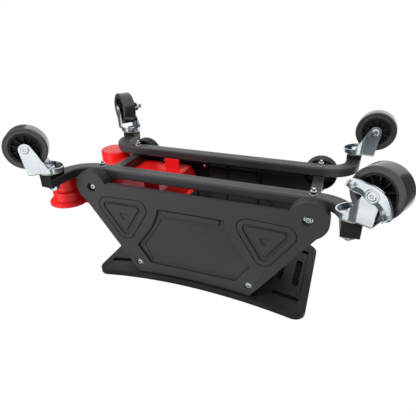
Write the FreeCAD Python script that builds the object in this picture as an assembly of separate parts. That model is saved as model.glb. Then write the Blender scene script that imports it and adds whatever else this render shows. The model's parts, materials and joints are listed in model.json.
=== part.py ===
"""Rolling workshop stool: bent tube base on four casters, moulded side panels, dished seat, slide-out tray.

Millimetres. +Z is up with the wheels standing on z = 0, +X points at the end with the tray, and -Y is the
front. The origin is on the floor, midway between the four caster stems.
"""
import FreeCAD, Part
import math
import os

from FreeCAD import Placement, Rotation, Vector

# Clearances shared by all pieces
RUNNING_CLEARANCE = 0.05
LOOSE_CLEARANCE = 0.1
CUT_MARGIN = 1.0
EDGE_TOLERANCE = 0.01

# Caster wheel
WHEEL_RADIUS = 37.5
TYRE_WIDTH = 29.0
TYRE_INNER_RADIUS = 27.55
TYRE_LIP = 3.5
TYRE_GROOVE = 1.0
TYRE_SHOULDER = 5.0
CORE_RADIUS = 27.5
CORE_RIM_INNER = 24.5
CORE_HALF_WIDTH = 13.0
CORE_WEB = 4.0
CORE_RIB_HALF_WIDTH = 10.5
CORE_RIB_THICKNESS = 1.8
CORE_RIB_COUNT = 10
CORE_SINK = 0.5
HUB_RADIUS = 9.0
HUB_HALF_LENGTH = 16.5

# Caster fork, axle and stem
AXLE_RADIUS = 4.0
AXLE_HEAD_RADIUS = 7.0
AXLE_HEAD = 2.8
AXLE_HEAD_ROUND = 2.2
AXLE_DIMPLE_RADIUS = 2.6
AXLE_DIMPLE = 1.0
CASTER_TRAIL = 32.0
FORK_SHEET = 2.5
FORK_INNER_HALF = 17.0
FORK_FRONT = -13.5
FORK_FRONT_RADIUS = 18.8
FORK_FRONT_WALL = 4.5
FORK_REAR = 37.0
FORK_EYE_RADIUS = 11.0
CROWN_RADIUS = 22.5
CROWN_THICKNESS = 3.5
CROWN_LIP_WIDTH = 2.0
CROWN_LIP_DEPTH = 3.5
RACE_RADIUS = 21.5
RACE_THICKNESS = 1.5
STEM_RADIUS = 5.0
STEM_HEAD_RADIUS = 8.5
STEM_HEAD_HEIGHT = 4.5
STEM_HEAD_ROUND = 2.5
SWIVEL_GAP = 0.3
STEM_TOP = 127.0
STEM_NUT_FLATS = 17.0
STEM_NUT_HEIGHT = 8.0

# Brake rocker, in the wheel's plane about the axle
BRAKE_SHEET = 2.0
BRAKE_GAP = 0.5
BRAKE_OUTLINE = ((-38.0, -6.0), (-33.5, -12.0), (-25.0, -15.3), (-10.0, -14.0), (4.0, -12.5), (14.0, -6.5),
                 (20.5, 3.5), (26.5, 15.0), (26.5, 25.0), (22.5, 30.0), (16.5, 26.0), (8.0, 15.5),
                 (-4.0, 11.3), (-15.0, 4.8), (-29.0, 2.8))
BRAKE_HOLES = ((-27.0, -6.0), (17.5, 17.5))
BRAKE_ENDS = ((-33.5, -8.5), (22.5, 25.0))
BRAKE_TAB_LENGTH = 8.0
BRAKE_TAB_WIDTH = 9.0
BRAKE_BOSS_RADIUS = 9.5
BRAKE_BOSS_HEIGHT = 1.6
BRAKE_HOLE_RADIUS = 2.2

# Base rails, end caps and cross tubes
RAIL_WIDTH = 28.0
RAIL_HEIGHT = 18.0
RAIL_WALL = 1.6
RAIL_CORNER = 3.5
RAIL_UNDERSIDE = 97.5
RAIL_OFFSET = 70.0
BEND_START = 217.0
BEND_RADIUS = 48.0
BEND_ANGLE = 86.0
TUBE_END_Y = 160.0
STEM_FROM_END = 14.0
CAP_FLANGE = 3.0
CAP_SPIGOT = 7.0
CAP_WALL = 2.0
CAP_CORNER = 1.2
CAP_EDGE_ROUND = 1.0
CAP_SHOE = 9.5
CAP_SHOE_LENGTH = 32.0
CAP_SHOE_ROUND = 2.5
CROSS_SIZE = 20.0
CROSS_WALL = 1.6
CROSS_CORNER = 2.0
CROSS_X = 206.0

# Side panels
PANEL_OUTER = 116.5
PANEL_DEPTH = 12.0
PANEL_SKIN = 3.6
PANEL_WALL = 3.2
PANEL_RIB = 2.4
PANEL_RIBS_X = (-75.0, 0.0, 75.0)
PANEL_UPPER_RIB_Z = 225.0
PANEL_UPPER_RIB_HALF = 112.0
PANEL_BASE_EDGE = 114.5
PANEL_TOP_HALF = 122.0
PANEL_CORNER = 8.0
EAR_RADIUS = 34.0
EAR_DEPTH = 24.0
EAR_HUB_RADIUS = 15.0
EAR_RIB_COUNT = 8
EAR_RIB_SETBACK = 2.0
EAR_RECESS_RADIUS = 9.0
EAR_RECESS_DEPTH = 8.0
SLOPE_TANGENT_RADIUS = 31.0
BASE_EDGE_ON_EAR = 0.7
SEAT_BOLT_X = 114.5
SEAT_BOLT_Z = 280.5
SEAT_BOLT_RECESS_RADIUS = 7.5
SEAT_BOLT_RECESS_DEPTH = 2.6
SEAT_BOLT_BOSS_RADIUS = 10.5
EAR_GROOVES = (6.0, 10.5, 15.0, 19.5)
EAR_GROOVE_WIDTH = 1.2
EAR_GROOVE_DEPTH = 1.0

# Relief on the panels' outer faces: half outlines as X and Z corners
HEXAGON = ((65.0, 149.2), (69.5, 167.0), (79.5, 189.0), (95.5, 211.5), (115.7, 237.5), (88.5, 276.5))
INNER_HEXAGON = ((59.0, 170.5), (68.0, 187.0), (84.0, 211.5), (101.0, 234.5), (84.5, 271.0))
TOOL_BAR = ((56.5, 151.5), (56.5, 162.5))
TRIANGLE = ((91.0, 147.5), (190.0, 151.5), (139.0, 226.0))
INNER_TRIANGLE = ((102.5, 153.5), (179.0, 155.0), (139.5, 211.5))
CHEVRON = ((128.5, 171.0), (150.0, 171.0), (139.0, 188.0))
HEXAGON_ROUND = 4.0
TOOL_BAR_ROUND = 2.5
TRIANGLE_ROUND = 9.0
INNER_TRIANGLE_ROUND = 5.0
CHEVRON_ROUND = 2.5
HEXAGON_DEPTH = 4.0
INNER_HEXAGON_DEPTH = 5.2
TOOL_BAR_DEPTH = 1.6
TRIANGLE_DEPTH = 2.0
TRIANGLE_LINE_GAP = 9.0
TRIANGLE_LINE_WIDTH = 1.8
TRIANGLE_LINE_DEPTH = 1.2
CHEVRON_DEPTH = 1.4

# Seat
SEAT_HALF_LENGTH = 222.0
SEAT_HALF_WIDTH = 124.0
SEAT_THICKNESS = 14.5
SEAT_CORNER = 25.0
SEAT_UNDERSIDE_MIDDLE = 297.0
SEAT_ARCH_RADIUS = 1100.0
SEAT_EDGE_ROUND = 4.0
SEAT_SKIN = 4.5
SEAT_POCKET_HALF_LENGTH = 128.0
SEAT_POCKET_HALF_WIDTH = 88.0
SEAT_POCKET_COUNT = 6
SEAT_RIB = 4.0
SEAT_BLANK_HALF = 60.0
LONG_SLOT_X = 179.5
LONG_SLOT_Y = 83.0
LONG_SLOT_LENGTH = 51.0
HANDLE_SLOT_X = 191.5
HANDLE_SLOT_LENGTH = 88.0
CROSS_SLOT_X = 157.0
CROSS_SLOT_LENGTH = 82.0
SEAT_SLOT_WIDTH = 12.5
SEAT_SLOT_LEDGE = 2.75
SEAT_SLOT_THROAT = 8.0
LUG_HALF_LENGTH = 17.0
LUG_INNER = 91.0
LUG_DROP = 33.0
LUG_RISE = 12.0
LUG_ROUND = 6.0

# Tray with its two cups
TRAY_BOTTOM = 135.8
TRAY_RIM = 173.5
TRAY_HALF_WIDTH = 88.0
TRAY_WALL = 2.5
TRAY_INNER_END = 80.0
TRAY_INNER_FLARE = 20.0
TRAY_OUTER_END = 264.0
TRAY_OUTER_FLARE = 4.0
TRAY_ROUND = 6.0
TRAY_FLANGE_WIDTH = 9.0
TRAY_FLANGE_THICKNESS = 2.5
TRAY_FLANGE_CORNER = 12.0
CUP_X = 284.0
CUP_Y = 95.0
CUP_BOTTOM = 121.5
CUP_RIM = 175.5
CUP_RADIUS = 37.0
CUP_BOTTOM_ROUND = 3.0
CUP_RIM_RADIUS = 39.0
CUP_RIM_THICKNESS = 4.5
STEPPED_CUP = ((23.0, 147.5), (30.0, 167.5), (36.0, CUP_RIM))
TAB_NEAR = 93.0
TAB_FAR = 127.0
TAB_Y = 50.0
TAB_THICKNESS = 3.0
TAB_DROP = 23.0

# Tray runners on the panels
RUNNER_NEAR = 45.0
RUNNER_FAR = 168.0
RUNNER_WEB = 2.5
RUNNER_LEDGE = 3.0
RUNNER_BOTTOM = 134.0
RUNNER_GAP = 0.4
RUNNER_REACH = 11.5
RUNNER_SCREW_Z = 141.5
RUNNER_SCREWS_X = (53.0, 158.0)
RUNNER_SCREW_RADIUS = 2.0
RUNNER_SCREW_HEAD_RADIUS = 4.0
RUNNER_SCREW_HEAD = 2.2
RUNNER_SCREW_ROUND = 1.5
RUNNER_SCREW_BITE = 6.0
RUNNER_BOSS_RADIUS = 5.0

# Bolts and nuts; a side bolt is its shank radius, head radius and head height
EAR_BOLT = (4.0, 5.8, 4.0)
EAR_BOLT_TIP = 80.0
EAR_INSERT_LENGTH = 13.5
SEAT_BOLT = (3.0, 5.5, 3.3)
SEAT_NUT_FLATS = 10.0
SEAT_NUT_HEIGHT = 5.0
BOLT_TIP = 2.0
HEAD_ROUND_SHARE = 0.6
SOCKET_SHARE = 0.8
FRAME_BOLT_RADIUS = 3.0
FRAME_BOLT_FLATS = 10.0
FRAME_BOLT_HEAD = 4.0
FRAME_BOLT_TIP = 5.0
FRAME_BOLT_ROUND = 1.2
FRAME_FLANGE_RADIUS = 6.5
FRAME_FLANGE_THICKNESS = 1.2
FRAME_NUT_HEIGHT = 5.5

# Levels and places that follow from these
ORIGIN = Vector(0, 0, 0)
X_AXIS = Vector(1, 0, 0)
Y_AXIS = Vector(0, 1, 0)
Z_AXIS = Vector(0, 0, 1)
RAIL_TOP = RAIL_UNDERSIDE + RAIL_HEIGHT
CROSS_Z = RAIL_TOP + CROSS_SIZE / 2
CROSS_TOP = RAIL_TOP + CROSS_SIZE
PANEL_INNER = PANEL_OUTER - PANEL_DEPTH
EAR_INNER = PANEL_OUTER - EAR_DEPTH
FORK_OUTER_HALF = FORK_INNER_HALF + FORK_SHEET
BRAKE_INNER = FORK_OUTER_HALF + BRAKE_GAP
BRAKE_OUTER = BRAKE_INNER + BRAKE_SHEET
SHOE_LOW = RAIL_UNDERSIDE - CAP_SHOE
CROWN_TOP = SHOE_LOW - RACE_THICKNESS - SWIVEL_GAP
CROWN_LOW = CROWN_TOP - CROWN_THICKNESS
SEAT_ARCH_CENTRE = SEAT_UNDERSIDE_MIDDLE + SEAT_ARCH_RADIUS
SEAT_TOP_RADIUS = SEAT_ARCH_RADIUS - SEAT_THICKNESS
BEND_TURN = math.radians(BEND_ANGLE)
END_DIRECTION = Vector(math.cos(BEND_TURN), -math.sin(BEND_TURN), 0)
BEND_CENTRE = Vector(BEND_START, -RAIL_OFFSET - BEND_RADIUS, 0)
BEND_END = BEND_CENTRE + Vector(math.sin(BEND_TURN), math.cos(BEND_TURN), 0) * BEND_RADIUS
TUBE_END = BEND_END + END_DIRECTION * ((-TUBE_END_Y - BEND_END.y) / END_DIRECTION.y)
STEM_PLACE = TUBE_END - END_DIRECTION * STEM_FROM_END

# Casters: name, sides of the stool in X and Y, heading of the trailing wheel in degrees, braked or not
CASTERS = (
    ("front_right", 1, -1, -36.0, False),
    ("front_left", -1, -1, 208.0, True),
    ("rear_left", -1, 1, 186.0, False),
    ("rear_right", 1, 1, 38.0, True),
)


def at(x, y, z=0.0):
    """Point from its coordinates."""
    return Vector(x, y, z)


def line(start, end):
    """Straight edge."""
    return Part.LineSegment(start, end).toShape()


def arc(start, middle, end):
    """Round edge through three points."""
    return Part.Arc(start, middle, end).toShape()


def box(low, high):
    """Box between two corner points."""
    size = high - low
    return Part.makeBox(size.x, size.y, size.z, low)


def post(radius, x, y, low, high):
    """Upright cylinder between two levels."""
    return Part.makeCylinder(radius, high - low, at(x, y, low), Z_AXIS)


def rod(radius, x, z, start, end):
    """Cylinder that runs across the stool, from one Y to another."""
    return Part.makeCylinder(radius, abs(end - start), at(x, min(start, end), z), Y_AXIS)


def disc(radius, half):
    """Disc about the X axis, centred on the origin."""
    return Part.makeCylinder(radius, 2 * half, at(-half, 0), X_AXIS)


def hexagon(flats, height):
    """Hexagonal prism standing on the origin."""
    corner = flats / math.sqrt(3)
    turns = [math.radians(60 * i) for i in range(7)]
    outline = Part.makePolygon([at(corner * math.cos(t), corner * math.sin(t)) for t in turns])
    return Part.Face(outline).extrude(Z_AXIS * height)


def hex_post(flats, x, y, low, high):
    """Upright hexagonal prism between two levels."""
    prism = hexagon(flats, high - low)
    prism.translate(at(x, y, low))
    return prism


def hex_rod(flats, x, z, start, end):
    """Hexagonal prism that runs across the stool, from one Y to another."""
    prism = hexagon(flats, abs(end - start))
    prism.Placement = Placement(at(x, max(start, end), z), Rotation(X_AXIS, 90))
    return prism


def polygon_face(points):
    """Flat face from corner points."""
    return Part.Face(Part.makePolygon(list(points) + [points[0]]))


def rounded_face(points, radius):
    """Flat face from corner points, with every corner rounded by an arc."""
    trims = []
    count = len(points)
    for i, corner in enumerate(points):
        before = (points[i - 1] - corner).normalize()
        after = (points[(i + 1) % count] - corner).normalize()
        half = before.getAngle(after) / 2
        reach = radius / math.tan(half)
        middle = corner + (before + after).normalize() * (radius / math.sin(half) - radius)
        trims.append((corner + before * reach, middle, corner + after * reach))
    edges = []
    for i, trim in enumerate(trims):
        edges.append(arc(*trim))
        edges.append(line(trim[2], trims[(i + 1) % count][0]))
    return Part.Face(Part.Wire(edges))


def both_sides(half):
    """Closed list of X-Z corners from the corners of its right half."""
    right = [at(x, z) for x, z in half]
    return right + [at(-p.x, p.y) for p in reversed(right)]


def upright(face, y):
    """Stand a flat face from the floor plan up in the X-Z plane at one depth."""
    standing = face.copy()
    standing.Placement = Placement(at(0, y), Rotation(X_AXIS, 90))
    return standing


def wall(face, start, end):
    """Solid that a standing outline fills from one Y to another."""
    return upright(face, start).extrude(Y_AXIS * (end - start))


def slot_prism(x, y, length, width, along, low, high):
    """Round-ended slot along X or Y between two levels."""
    centre = at(x, y, low)
    run = along * ((length - width) / 2)
    tip = along * (width / 2)
    side = at(-along.y, along.x) * (width / 2)
    edges = [line(centre - run - side, centre + run - side),
             arc(centre + run - side, centre + run + tip, centre + run + side),
             line(centre + run + side, centre - run + side),
             arc(centre - run + side, centre - run - tip, centre - run - side)]
    return Part.Face(Part.Wire(edges)).extrude(Z_AXIS * (high - low))


def tangent_point(start, centre, radius, turn):
    """Point where a line from start touches a circle on the side that turn picks."""
    span = centre - start
    lean = turn * math.asin(radius / span.Length)
    run = Rotation(Z_AXIS, math.degrees(lean)).multVec(span)
    return start + run * math.cos(lean)


def fillet_where(shape, radius, wanted):
    """Round the edges that a test picks out by their boxes."""
    return shape.makeFillet(radius, [edge for edge in shape.Edges if wanted(edge.BoundBox)])


def mirrored_y(shape):
    """Copy on the other side of the stool."""
    return shape.mirror(ORIGIN, Y_AXIS)


def save(name, *shapes):
    """Write one node, as one solid or as a group of separate solids."""
    shape = shapes[0] if len(shapes) == 1 else Part.makeCompound(list(shapes))
    shape.exportStep(f"parts/{name}.step")
    volume = sum(solid.Volume for solid in shape.Solids) / 1000
    print(f"{name}: {len(shape.Solids)} solid(s), {volume:.1f} cm3, valid {shape.isValid()}")


def rail_bar(half_width, low, high, overrun):
    """Solid bar along the front rail's bent centre line."""
    def on_bend(radius, share):
        turn = BEND_TURN * share
        return BEND_CENTRE + at(math.sin(turn), math.cos(turn)) * radius

    tip = TUBE_END + END_DIRECTION * overrun
    across = at(-END_DIRECTION.y, END_DIRECTION.x) * half_width
    far, near = BEND_RADIUS + half_width, BEND_RADIUS - half_width
    half = [line(at(0, BEND_CENTRE.y + far), on_bend(far, 0)),
            arc(on_bend(far, 0), on_bend(far, 0.5), on_bend(far, 1)),
            line(on_bend(far, 1), tip + across),
            line(tip + across, tip - across),
            line(tip - across, on_bend(near, 1)),
            arc(on_bend(near, 1), on_bend(near, 0.5), on_bend(near, 0)),
            line(on_bend(near, 0), at(0, BEND_CENTRE.y + near))]
    other = [edge.mirror(ORIGIN, X_AXIS) for edge in half]
    outline = Part.Face(Part.Wire(Part.__sortEdges__(half + other)))
    outline.translate(Z_AXIS * low)
    return outline.extrude(Z_AXIS * (high - low)).removeSplitter()


def make_rail():
    """Front base rail: one bent rectangular tube, open at both ends, with stem and bolt holes."""
    def along_rail(bounds):
        at_end = bounds.YMin < TUBE_END.y + EDGE_TOLERANCE and bounds.YMax - bounds.YMin < RAIL_WIDTH / 2
        return bounds.ZLength < EDGE_TOLERANCE and not at_end

    half, wall_in = RAIL_WIDTH / 2, RAIL_WALL
    rail = fillet_where(rail_bar(half, RAIL_UNDERSIDE, RAIL_TOP, 0), RAIL_CORNER, along_rail)
    rail = rail.cut(rail_bar(half - wall_in, RAIL_UNDERSIDE + wall_in, RAIL_TOP - wall_in, CUT_MARGIN))
    for side in (1, -1):
        rail = rail.cut(post(STEM_RADIUS + LOOSE_CLEARANCE, side * STEM_PLACE.x, STEM_PLACE.y, 0, CROSS_TOP))
        rail = rail.cut(post(FRAME_BOLT_RADIUS + LOOSE_CLEARANCE, side * CROSS_X, -RAIL_OFFSET, 0, CROSS_TOP))
    return rail


def make_cap(side):
    """Plastic plug in one end of the front rail, with a flange over its end and a shoe below it."""
    def slab(length, width, height, start):
        block = Part.makeBox(length, width, height, at(start, -width / 2, -height / 2))
        return fillet_where(block, CAP_CORNER, lambda bounds: bounds.XLength > length - EDGE_TOLERANCE)

    width = RAIL_WIDTH - 2 * (RAIL_WALL + LOOSE_CLEARANCE)
    height = RAIL_HEIGHT - 2 * (RAIL_WALL + LOOSE_CLEARANCE)
    flange = slab(CAP_FLANGE, RAIL_WIDTH, RAIL_HEIGHT, 0)
    flange = fillet_where(flange, CAP_EDGE_ROUND, lambda bounds: bounds.XMin > CAP_FLANGE - EDGE_TOLERANCE)
    spigot = slab(CAP_SPIGOT, width, height, -CAP_SPIGOT)
    spigot = spigot.cut(slab(CAP_SPIGOT, width - 2 * CAP_WALL, height - 2 * CAP_WALL, -CAP_SPIGOT))
    shoe_top = -RAIL_HEIGHT / 2
    shoe_low = shoe_top - CAP_SHOE
    shoe = Part.makeBox(CAP_SHOE_LENGTH + CAP_FLANGE, RAIL_WIDTH, CAP_SHOE,
                        at(-CAP_SHOE_LENGTH, -RAIL_WIDTH / 2, shoe_low))
    shoe = fillet_where(shoe, CAP_SHOE_ROUND, lambda bounds: bounds.ZMax < shoe_low + EDGE_TOLERANCE)
    shoe = shoe.cut(post(STEM_RADIUS + LOOSE_CLEARANCE, -STEM_FROM_END, 0, shoe_low, shoe_top))
    cap = flange.fuse([spigot, shoe]).removeSplitter()
    heading = math.degrees(math.atan2(END_DIRECTION.y, side * END_DIRECTION.x))
    place = at(side * TUBE_END.x, TUBE_END.y, RAIL_UNDERSIDE + RAIL_HEIGHT / 2)
    cap.Placement = Placement(place, Rotation(Z_AXIS, heading))
    return cap


def make_cross_tube(side):
    """Square cross tube that the rails and both panels bolt to."""
    def square(half, length):
        middle = at(side * CROSS_X, 0, CROSS_Z)
        return box(middle - at(half, length, half), middle + at(half, length, half))

    tube = square(CROSS_SIZE / 2, EAR_INNER)
    tube = fillet_where(tube, CROSS_CORNER, lambda bounds: bounds.YLength > EAR_INNER)
    tube = tube.cut(square(CROSS_SIZE / 2 - CROSS_WALL, EAR_INNER + CUT_MARGIN))
    radius = FRAME_BOLT_RADIUS + LOOSE_CLEARANCE
    return tube.cut([post(radius, side * CROSS_X, y, 0, CROSS_Z) for y in (RAIL_OFFSET, -RAIL_OFFSET)])


def arch(radius):
    """Wide cylinder across the stool that dishes the seat and the panels' seat edge."""
    return rod(radius, 0, SEAT_ARCH_CENTRE, -2 * SEAT_HALF_WIDTH, 2 * SEAT_HALF_WIDTH)


def panel_outline():
    """Corners of the panel between its ears, running past the seat edge that the arch then cuts."""
    ear = at(CROSS_X, CROSS_Z)
    corner = at(PANEL_TOP_HALF, SEAT_UNDERSIDE_MIDDLE)
    touch = tangent_point(corner, ear, SLOPE_TANGENT_RADIUS, 1)
    over = corner + (corner - touch).normalize() * 2 * PANEL_CORNER
    base = at(CROSS_X - EAR_RADIUS * BASE_EDGE_ON_EAR, PANEL_BASE_EDGE)
    return both_sides([(p.x, p.y) for p in (base, ear, touch, over)])


def panel_relief():
    """Cutters for the outer face: stepped hexagon round a raised tool bar, and nested triangles in a line."""
    face = -PANEL_OUTER

    def recess(shape, depth):
        return wall(shape, face - CUT_MARGIN, face + depth)

    bar = rounded_face(both_sides(TOOL_BAR), TOOL_BAR_ROUND)
    bar = wall(bar, face + TOOL_BAR_DEPTH, face + HEXAGON_DEPTH)
    cutters = [recess(rounded_face(both_sides(HEXAGON), HEXAGON_ROUND), HEXAGON_DEPTH).cut(bar),
               recess(rounded_face(both_sides(INNER_HEXAGON), HEXAGON_ROUND), INNER_HEXAGON_DEPTH)]
    for side in (1, -1):
        outer, inner, chevron = [[at(side * x, z) for x, z in points]
                                 for points in (TRIANGLE, INNER_TRIANGLE, CHEVRON)]
        outer = rounded_face(outer, TRIANGLE_ROUND)
        inner = rounded_face(inner, INNER_TRIANGLE_ROUND)
        cutters.append(recess(outer, TRIANGLE_DEPTH).cut(recess(inner, TRIANGLE_DEPTH)))
        cutters.append(recess(rounded_face(chevron, CHEVRON_ROUND), CHEVRON_DEPTH))
        around = outer.makeOffset2D(TRIANGLE_LINE_GAP)
        groove = recess(around.makeOffset2D(TRIANGLE_LINE_WIDTH), TRIANGLE_LINE_DEPTH)
        cutters.append(groove.cut(recess(around, TRIANGLE_LINE_DEPTH)))
    return cutters


def ear_grooves(x):
    """Ring grooves round the rim of the ear at this place."""
    grooves = []
    for depth in EAR_GROOVES:
        near = depth - PANEL_OUTER
        far = near + EAR_GROOVE_WIDTH
        ring = rod(EAR_RADIUS + CUT_MARGIN, x, CROSS_Z, near, far)
        grooves.append(ring.cut(rod(EAR_RADIUS - EAR_GROOVE_DEPTH, x, CROSS_Z, near, far)))
    return grooves


def panel_ribs():
    """Ribs on the inside of the front panel, with the bosses for the runner screws and the seat bolts."""
    start, end = CUT_MARGIN - PANEL_OUTER, -PANEL_INNER
    half = PANEL_RIB / 2
    ribs = []
    for x in PANEL_RIBS_X:
        ribs.append(box(at(x - half, start, PANEL_BASE_EDGE), at(x + half, end, SEAT_UNDERSIDE_MIDDLE)))
    for z, reach in ((RUNNER_SCREW_Z, CROSS_X - EAR_RADIUS), (PANEL_UPPER_RIB_Z, PANEL_UPPER_RIB_HALF)):
        ribs.append(box(at(-reach, start, z - half), at(reach, end, z + half)))
    ribs += [rod(RUNNER_BOSS_RADIUS, x, RUNNER_SCREW_Z, start, end) for x in RUNNER_SCREWS_X]
    ribs += [rod(SEAT_BOLT_BOSS_RADIUS, side * SEAT_BOLT_X, SEAT_BOLT_Z, start, end) for side in (1, -1)]
    return ribs


def ear_hollow(x):
    """Ring-shaped hollow on the inside of an ear, divided by radial ribs."""
    bottom = EAR_RECESS_DEPTH + PANEL_SKIN - PANEL_OUTER
    hollow = rod(EAR_RADIUS - PANEL_WALL, x, CROSS_Z, bottom, -EAR_INNER)
    hollow = hollow.cut(rod(EAR_HUB_RADIUS, x, CROSS_Z, bottom, -EAR_INNER))
    half = PANEL_RIB / 2
    for i in range(EAR_RIB_COUNT):
        rib = box(at(0, -PANEL_OUTER, -half), at(EAR_RADIUS, -EAR_INNER - EAR_RIB_SETBACK, half))
        rib.rotate(ORIGIN, Y_AXIS, 360 / EAR_RIB_COUNT * (i + 0.5))
        rib.translate(at(x, 0, CROSS_Z))
        hollow = hollow.cut(rib)
    return hollow


def make_panel():
    """Front side panel: a moulded shell with thick round ears, ribbed on the inside."""
    face, inner = -PANEL_OUTER, -PANEL_INNER
    outline = panel_outline()
    blank = wall(rounded_face(outline, PANEL_CORNER), face, inner)
    pocket = wall(polygon_face(outline).makeOffset2D(-PANEL_WALL), face + PANEL_SKIN, inner)
    backing = polygon_face(both_sides(HEXAGON)).makeOffset2D(PANEL_WALL)
    backing = wall(backing, face, face + INNER_HEXAGON_DEPTH + PANEL_SKIN)
    panel = blank.cut(pocket.cut(arch(SEAT_ARCH_RADIUS + PANEL_WALL))).fuse(backing.common(blank))
    panel = panel.fuse([rib.common(blank) for rib in panel_ribs()])
    for side in (1, -1):
        panel = panel.fuse(rod(EAR_RADIUS, side * CROSS_X, CROSS_Z, face, -EAR_INNER))
        panel = panel.cut([ear_hollow(side * CROSS_X)] + ear_grooves(side * CROSS_X))
    panel = panel.cut(arch(SEAT_ARCH_RADIUS))
    holes = []
    for side in (1, -1):
        ear, seat = (side * CROSS_X, CROSS_Z), (side * SEAT_BOLT_X, SEAT_BOLT_Z)
        holes.append(rod(EAR_RECESS_RADIUS, *ear, face - CUT_MARGIN, face + EAR_RECESS_DEPTH))
        holes.append(rod(EAR_BOLT[0] + LOOSE_CLEARANCE, *ear, face, 0))
        holes.append(rod(SEAT_BOLT_RECESS_RADIUS, *seat, face - CUT_MARGIN, face + SEAT_BOLT_RECESS_DEPTH))
        holes.append(rod(SEAT_BOLT[0] + LOOSE_CLEARANCE, *seat, face, 0))
    for x in RUNNER_SCREWS_X:
        bite = inner - RUNNER_SCREW_BITE - CUT_MARGIN
        holes.append(rod(RUNNER_SCREW_RADIUS + LOOSE_CLEARANCE, x, RUNNER_SCREW_Z, bite, 0))
    return panel.cut(holes + panel_relief()).removeSplitter()


def make_seat():
    """Seat: dished plate with tool slots at both ends, ribbed pockets and bolt lugs below."""
    def on_top(edge):
        ends = [edge.valueAt(edge.FirstParameter), edge.valueAt(edge.LastParameter)]
        reaches = [math.hypot(p.x, p.z - SEAT_ARCH_CENTRE) for p in ends]
        return all(abs(reach - SEAT_TOP_RADIUS) < EDGE_TOLERANCE for reach in reaches)

    low, high = SEAT_UNDERSIDE_MIDDLE - SEAT_BLANK_HALF, SEAT_UNDERSIDE_MIDDLE + SEAT_BLANK_HALF
    length, width = SEAT_HALF_LENGTH, SEAT_HALF_WIDTH
    plan = rounded_face([at(-length, -width, low), at(length, -width, low),
                         at(length, width, low), at(-length, width, low)], SEAT_CORNER)
    top = arch(SEAT_TOP_RADIUS)
    seat = plan.extrude(Z_AXIS * (high - low)).common(arch(SEAT_ARCH_RADIUS)).cut(top)
    seat = seat.makeFillet(SEAT_EDGE_ROUND, [edge for edge in seat.Edges if on_top(edge)])
    seat = seat.cut(seat_pockets(low, high))
    seat = seat.fuse([lug.cut(top) for lug in seat_lugs()])
    return seat.cut(seat_openings(low, high)).removeSplitter()


def seat_pockets(low, high):
    """Pockets between the cross ribs under the middle of the seat."""
    skin = arch(SEAT_TOP_RADIUS + SEAT_SKIN)
    pitch = 2 * SEAT_POCKET_HALF_LENGTH / SEAT_POCKET_COUNT
    pockets = []
    for i in range(SEAT_POCKET_COUNT):
        start = -SEAT_POCKET_HALF_LENGTH + i * pitch + SEAT_RIB / 2
        corner = at(start + pitch - SEAT_RIB, SEAT_POCKET_HALF_WIDTH, high)
        pockets.append(box(at(start, -SEAT_POCKET_HALF_WIDTH, low), corner).cut(skin))
    return pockets


def seat_lugs():
    """Four lugs under the seat that stand against the panels and take the seat bolts."""
    def low_corner(bounds):
        return bounds.ZMax < SEAT_UNDERSIDE_MIDDLE and bounds.XLength < EDGE_TOLERANCE

    bottom = SEAT_UNDERSIDE_MIDDLE - LUG_DROP
    lugs = []
    for side in (1, -1):
        near, far = side * SEAT_BOLT_X - LUG_HALF_LENGTH, side * SEAT_BOLT_X + LUG_HALF_LENGTH
        lug = box(at(near, -PANEL_INNER, bottom), at(far, -LUG_INNER, SEAT_UNDERSIDE_MIDDLE + LUG_RISE))
        lug = fillet_where(lug, LUG_ROUND, low_corner)
        lugs += [lug, mirrored_y(lug)]
    return lugs


def seat_openings(low, high):
    """Tool slots at both ends of the seat, stepped to a narrow throat, and the bolt holes in its lugs."""
    upper = arch(SEAT_TOP_RADIUS + SEAT_SLOT_THROAT)

    def stepped(x, y, length, along):
        mouth = slot_prism(x, y, length, SEAT_SLOT_WIDTH, along, low, high).cut(upper)
        step = 2 * SEAT_SLOT_LEDGE
        return [mouth, slot_prism(x, y, length - step, SEAT_SLOT_WIDTH - step, along, low, high)]

    openings = []
    for side in (1, -1):
        for y in (LONG_SLOT_Y, -LONG_SLOT_Y):
            openings += stepped(side * LONG_SLOT_X, y, LONG_SLOT_LENGTH, X_AXIS)
        for x, length in ((HANDLE_SLOT_X, HANDLE_SLOT_LENGTH), (CROSS_SLOT_X, CROSS_SLOT_LENGTH)):
            openings += stepped(side * x, 0, length, Y_AXIS)
        hole_radius = SEAT_BOLT[0] + LOOSE_CLEARANCE
        openings.append(rod(hole_radius, side * SEAT_BOLT_X, SEAT_BOLT_Z, -PANEL_OUTER, PANEL_OUTER))
    return openings


def tray_block(inset, low, high):
    """Tray body between two levels, flared at its ends and moved in by a wall thickness."""
    def end_x(level, base, flare):
        return base + flare * (level - TRAY_BOTTOM) / (TRAY_RIM - TRAY_BOTTOM)

    near = [end_x(level, TRAY_INNER_END, -TRAY_INNER_FLARE) + inset for level in (low, high)]
    far = [end_x(level, TRAY_OUTER_END, TRAY_OUTER_FLARE) - inset for level in (low, high)]
    profile = [at(near[0], low), at(far[0], low), at(far[1], high), at(near[1], high)]
    half = TRAY_HALF_WIDTH - inset
    block = wall(polygon_face(profile), -half, half)
    return fillet_where(block, TRAY_ROUND - inset, lambda b: b.ZMin < low + EDGE_TOLERANCE)


def tray_flange():
    """Flat flange round the tray's rim, which hangs on the runners."""
    reach = TRAY_HALF_WIDTH + TRAY_FLANGE_WIDTH
    near = TRAY_INNER_END - TRAY_INNER_FLARE - TRAY_FLANGE_WIDTH
    far = TRAY_OUTER_END + TRAY_OUTER_FLARE + TRAY_FLANGE_WIDTH
    flange = box(at(near, -reach, TRAY_RIM - TRAY_FLANGE_THICKNESS), at(far, reach, TRAY_RIM))
    return fillet_where(flange, TRAY_FLANGE_CORNER, lambda b: b.ZLength > TRAY_FLANGE_THICKNESS / 2)


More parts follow.
